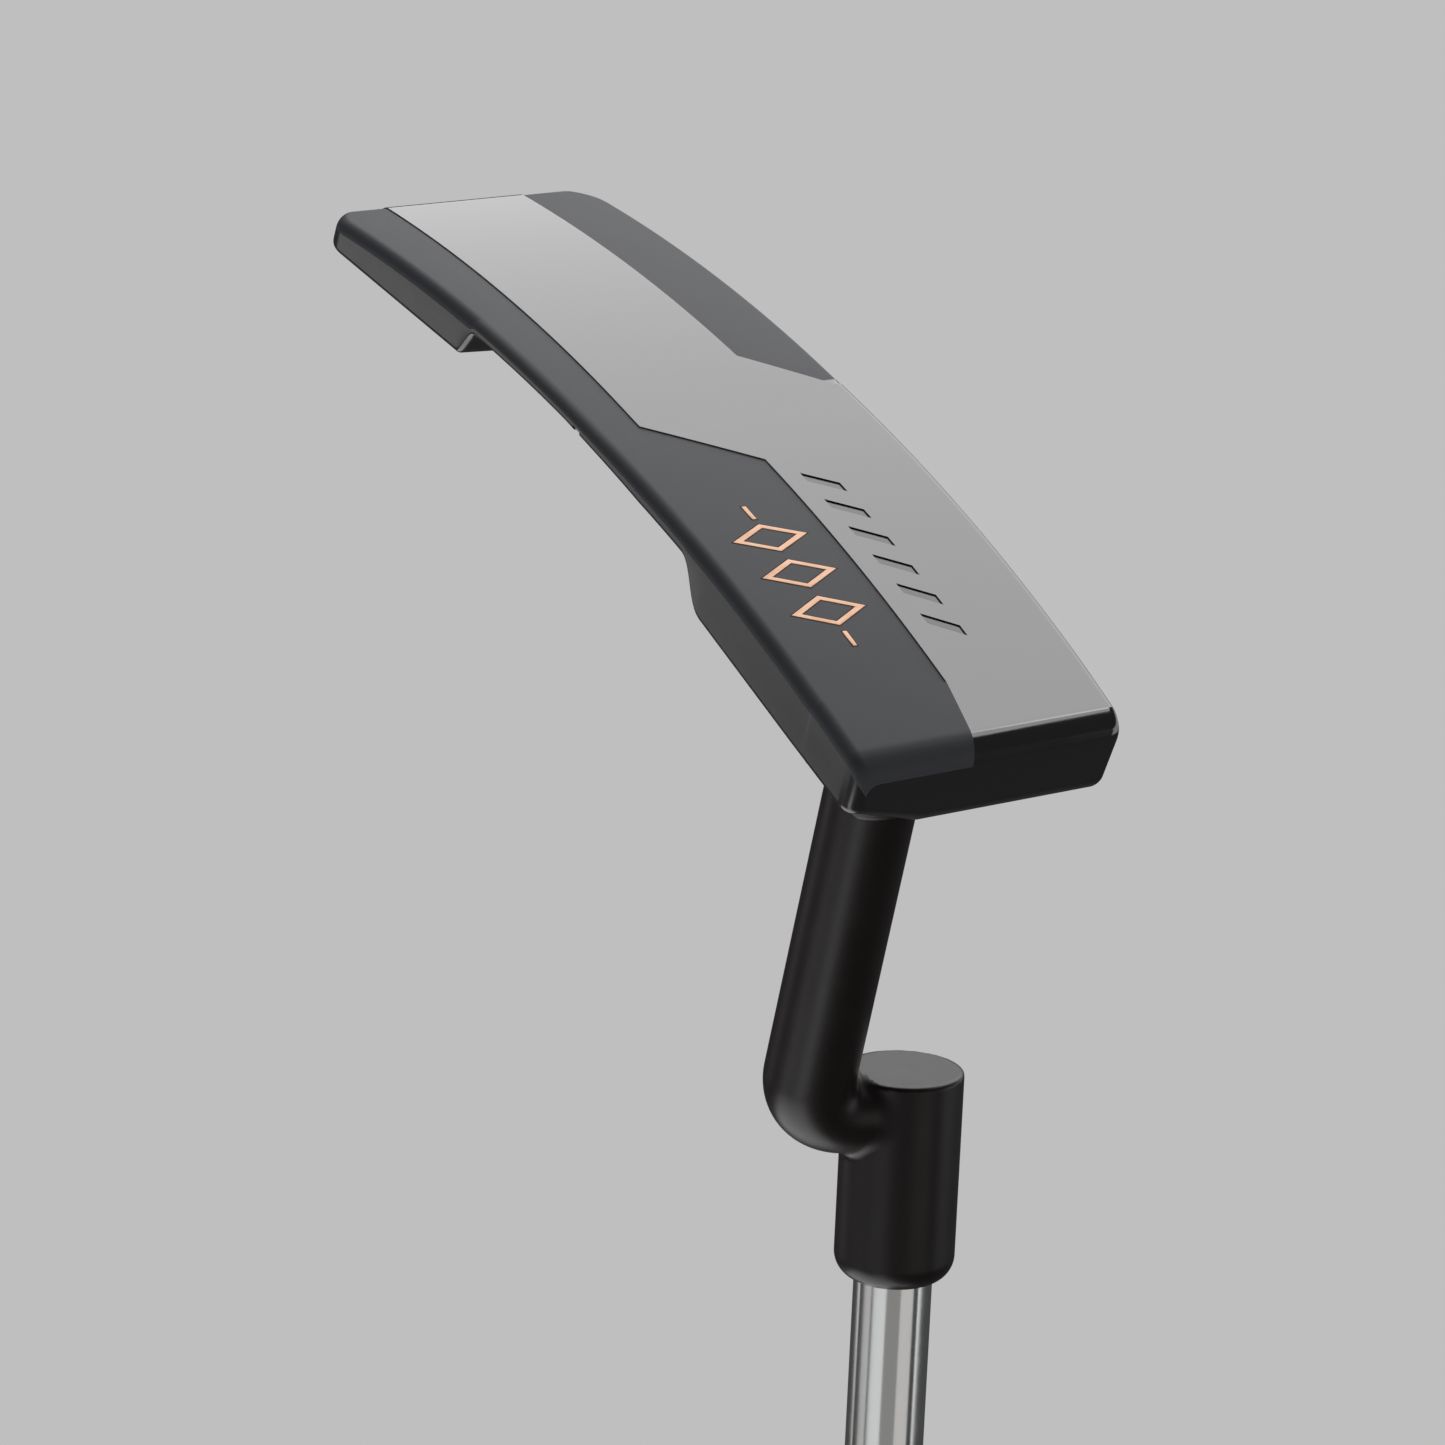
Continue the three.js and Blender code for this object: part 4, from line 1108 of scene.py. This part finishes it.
def grip_ring(share, z, radius, sides, relief=None):
    """Section of the grip: flat in front, fuller behind towards the butt."""
    belly = smoothstep(share, *BELLY_START) - GRIP_TAIL * smoothstep(share, *TAIL_START)
    flat_wall = FLAT_TIP_WALL + (FLAT_BUTT_WALL - FLAT_TIP_WALL) * share
    front = radius + (GRIP_BORE + flat_wall - radius) * smoothstep(share, *FLAT_START)
    ring = []
    for i in range(sides):
        a = 2 * math.pi * i / sides
        r = radius - (relief(share, a, z) if relief else 0)
        x, y = r * math.cos(a), r * math.sin(a) * GRIP_SIDE
        if x > front:
            x = front + FLAT_CROWN * (x - front)
        if x < 0:
            x += GRIP_PISTOL * belly * math.cos(a)
        ring.append((x, y, z))
    return ring


def grip_radius(share):
    lip = GRIP_LIP * (1 - smoothstep(share, 0, GRIP_LIP_END))
    return GRIP_BORE + GRIP_TIP_WALL + (GRIP_BUTT_WALL - GRIP_TIP_WALL) * share ** 0.8 + lip


def grip_relief(share, a, z):
    """Shallow grooves wound both ways over the back and sides; plain bands near the ends."""
    on = smoothstep(share, *GROOVES_START) * (1 - smoothstep(share, *GROOVES_END))
    back = smoothstep(-math.cos(a), *GROOVE_SIDES)
    turn = a * GROOVE_TURNS
    first = abs(math.sin(turn / 2 + z * GROOVE_PITCH))
    second = abs(math.sin(turn / 2 - z * GROOVE_PITCH))
    groove = max(1 - first / GROOVE_WIDTH, 1 - second / GROOVE_WIDTH, 0)
    return GROOVE_DEPTH * on * back * min(1, groove * GROOVE_STEEPNESS)


def make_grip():
    length = SHAFT_END - GRIP_START
    shares = [0, GRIP_LIP_CREST, GRIP_LIP_END]
    shares += [GRIP_BODY_START + (1 - GRIP_BODY_START) * i / GRIP_RINGS for i in range(GRIP_RINGS + 1)]
    rings = [grip_ring(share, GRIP_START + share * length, grip_radius(share), GRIP_SIDES, grip_relief)
             for share in shares]
    rings += [circle(GRIP_BORE, z, GRIP_SIDES) for z in (SHAFT_END, GRIP_START)]
    grip = hoop("grip_body", rings, [RUBBER], smooth=GRIP_SMOOTH)
    show(on_shaft(grip), "grip_sleeve")


def make_cap():
    rings = []
    for i in range(CAP_RINGS + 1):
        share = i / CAP_RINGS
        inset = round_in(CAP_EDGE, CAP_LENGTH * (1 - share))
        radius = GRIP_BORE + GRIP_BUTT_WALL - inset * CAP_CROWN
        rings.append(grip_ring(1, CAP_START + share * CAP_LENGTH, radius, CAP_SIDES))
    rings.append(circle(CAP_VENT_RADIUS + CAP_VENT_EDGE, BUTT_END, CAP_SIDES))
    rings += [circle(CAP_VENT_RADIUS, z, CAP_SIDES) for z in (BUTT_END - CAP_VENT_EDGE, CAP_START)]
    cap = hoop("grip_end", rings, [CAP], smooth=GRIP_SMOOTH)
    show(on_shaft(cap), "grip_cap")


make_shaft()
make_grip()
make_cap()

for node, mat in (("shaft_bond", EPOXY), ("shaft_tip_plug", NYLON), ("grip_tape", TAPE)):
    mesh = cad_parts[node].data
    mesh.materials.clear()
    mesh.materials.append(mat)


# ---------------------------------------------------------------- studio
FLOOR_SIZE = 8.0
BACKDROP = 0.521
AMBIENT = 0.06


def make_floor():
    """Pale floor, seen from above only; the light from below passes it."""
    mesh = bpy.data.meshes.new("floor")
    s = FLOOR_SIZE / 2
    mesh.from_pydata([(-s, -s, 0), (s, -s, 0), (s, s, 0), (-s, s, 0)], [], [(0, 1, 2, 3)])
    mat = material("floor_paper", (0.6, 0.6, 0.6), 0.8)
    tree = mat.node_tree
    wire(mat, Base_Color=mixed(mat, noise(mat, place(mat), 0.01, 4), (0.59, 0.59, 0.59), (0.61, 0.61, 0.61)))
    clear = tree.nodes.new("ShaderNodeBsdfTransparent")
    side = tree.nodes.new("ShaderNodeNewGeometry")
    both = tree.nodes.new("ShaderNodeMixShader")
    tree.links.new(side.outputs["Backfacing"], both.inputs["Fac"])
    tree.links.new(tree.nodes["Principled BSDF"].outputs["BSDF"], both.inputs[1])
    tree.links.new(clear.outputs["BSDF"], both.inputs[2])
    tree.links.new(both.outputs["Shader"], tree.nodes["Material Output"].inputs["Surface"])
    mesh.materials.append(mat)
    floor = bpy.data.objects.new("floor", mesh)
    bpy.context.scene.collection.objects.link(floor)
    floor.visible_shadow = False
    floor.visible_diffuse = False
    floor.visible_glossy = False


def softbox(name, towards, distance, size, radiance, colour=(1, 1, 1)):
    """Oblong soft light, `towards` being its direction from the head; its power follows from its radiance."""
    light = bpy.data.lights.new(name, "AREA")
    light.shape = "RECTANGLE"
    light.size, light.size_y = size
    light.energy = radiance * math.pi * size[0] * size[1]
    light.color = colour
    obj = bpy.data.objects.new(name, light)
    at = Vector(towards).normalized() * distance
    obj.location = at
    obj.rotation_euler = at.to_track_quat("Z", "X").to_euler()
    bpy.context.scene.collection.objects.link(obj)
    obj.visible_camera = False
    return obj


# Soft lights: direction from the head, distance, size, radiance.
KEY = ("sole_box", (0.62, 0.56, -0.5), 2.2, (2.6, 2.2), 2.0)
FILLS = [
    ("edge_strip", (-0.2, 0.56, -0.8), 2.0, (0.16, 1.6), 1.5),
    ("edge_back", (0.65, -0.45, -0.6), 2.0, (1.0, 1.0), 0.5),
    ("top_box", (-0.1, -0.25, 1), 1.6, (1.6, 1.6), 1.6),
]

# Upright cards round the head: degrees from +X, degrees above the floor, height, radiance, colour.
CARDS = [
    ("card_toe", 320, 337, 27, 0.9, 0.62, (1, 0.99, 0.98)),
    ("card_toe_back", 273, 318, 18, 1.0, 0.42, (1, 0.98, 0.96)),
    ("card_corner", 222, 238, 36, 0.4, 1.6, (1, 1, 1)),
    ("card_back", 228, 272, 9, 0.9, 0.62, (0.99, 1, 1)),
    ("card_middle", 191, 227, 2, 0.8, 0.2, (1, 0.98, 0.95)),
    ("card_heel", 153, 190, -4, 0.9, 0.5, (1, 0.97, 0.94)),
    ("card_face", 69, 138, -1, 0.85, 0.85, (1, 1, 1)),
]
CARD_DISTANCE = 2.0


def card(name, start, end, lift, height, radiance, colour):
    """Soft light that stands upright across its direction."""
    middle = math.radians((start + end) / 2)
    lift = math.radians(lift)
    towards = (math.cos(middle) * math.cos(lift), math.sin(middle) * math.cos(lift), math.sin(lift))
    width = 2 * CARD_DISTANCE * math.tan(math.radians((end - start) / 2))
    light = softbox(name, towards, CARD_DISTANCE, (width, height), radiance, colour)
    across = Vector((-math.sin(middle), math.cos(middle), 0))
    out = Vector(towards)
    light.rotation_euler = Matrix((across, out.cross(across), out)).transposed().to_euler()


def make_light():
    """Backdrop for the camera, a dim surround for everything else, and the soft lights."""
    world = bpy.data.worlds.new("studio")
    bpy.context.scene.world = world
    world.use_nodes = True
    tree = world.node_tree
    ambient = tree.nodes["Background"]
    ambient.inputs["Color"].default_value = (*(AMBIENT,) * 3, 1)
    seen = tree.nodes.new("ShaderNodeBackground")
    seen.inputs["Color"].default_value = (BACKDROP, BACKDROP, BACKDROP, 1)
    path = tree.nodes.new("ShaderNodeLightPath")
    both = tree.nodes.new("ShaderNodeMixShader")
    tree.links.new(path.outputs["Is Camera Ray"], both.inputs["Fac"])
    tree.links.new(ambient.outputs["Background"], both.inputs[1])
    tree.links.new(seen.outputs["Background"], both.inputs[2])
    tree.links.new(both.outputs["Shader"], tree.nodes["World Output"].inputs["Surface"])
    softbox(*KEY)
    for sizes in CARDS:
        card(*sizes)
    for sizes in FILLS:
        softbox(*sizes)


make_floor()
make_light()

# The photo's viewing angle: place and aim in metres, lens in millimetres.
CAMERA_AT = Vector((-0.5378, -0.4501, -0.3857))
CAMERA_AIM = Vector((-0.0195, -0.0044, 0.0300))
CAMERA_ROLL = math.radians(164.49)
LENS = 172.13


def make_camera():
    data = bpy.data.cameras.new("camera")
    data.sensor_width = 36
    data.lens = LENS
    data.clip_start = 0.01
    data.clip_end = 50
    camera = bpy.data.objects.new("camera", data)
    bpy.context.scene.collection.objects.link(camera)
    look = (CAMERA_AIM - CAMERA_AT).normalized()
    level = look.to_track_quat("-Z", "Y").to_matrix().to_4x4()
    camera.matrix_world = Matrix.Translation(CAMERA_AT) @ level @ Matrix.Rotation(-CAMERA_ROLL, 4, "Z")
    bpy.context.scene.camera = camera


make_camera()
bpy.context.scene.view_settings.view_transform = "Standard"
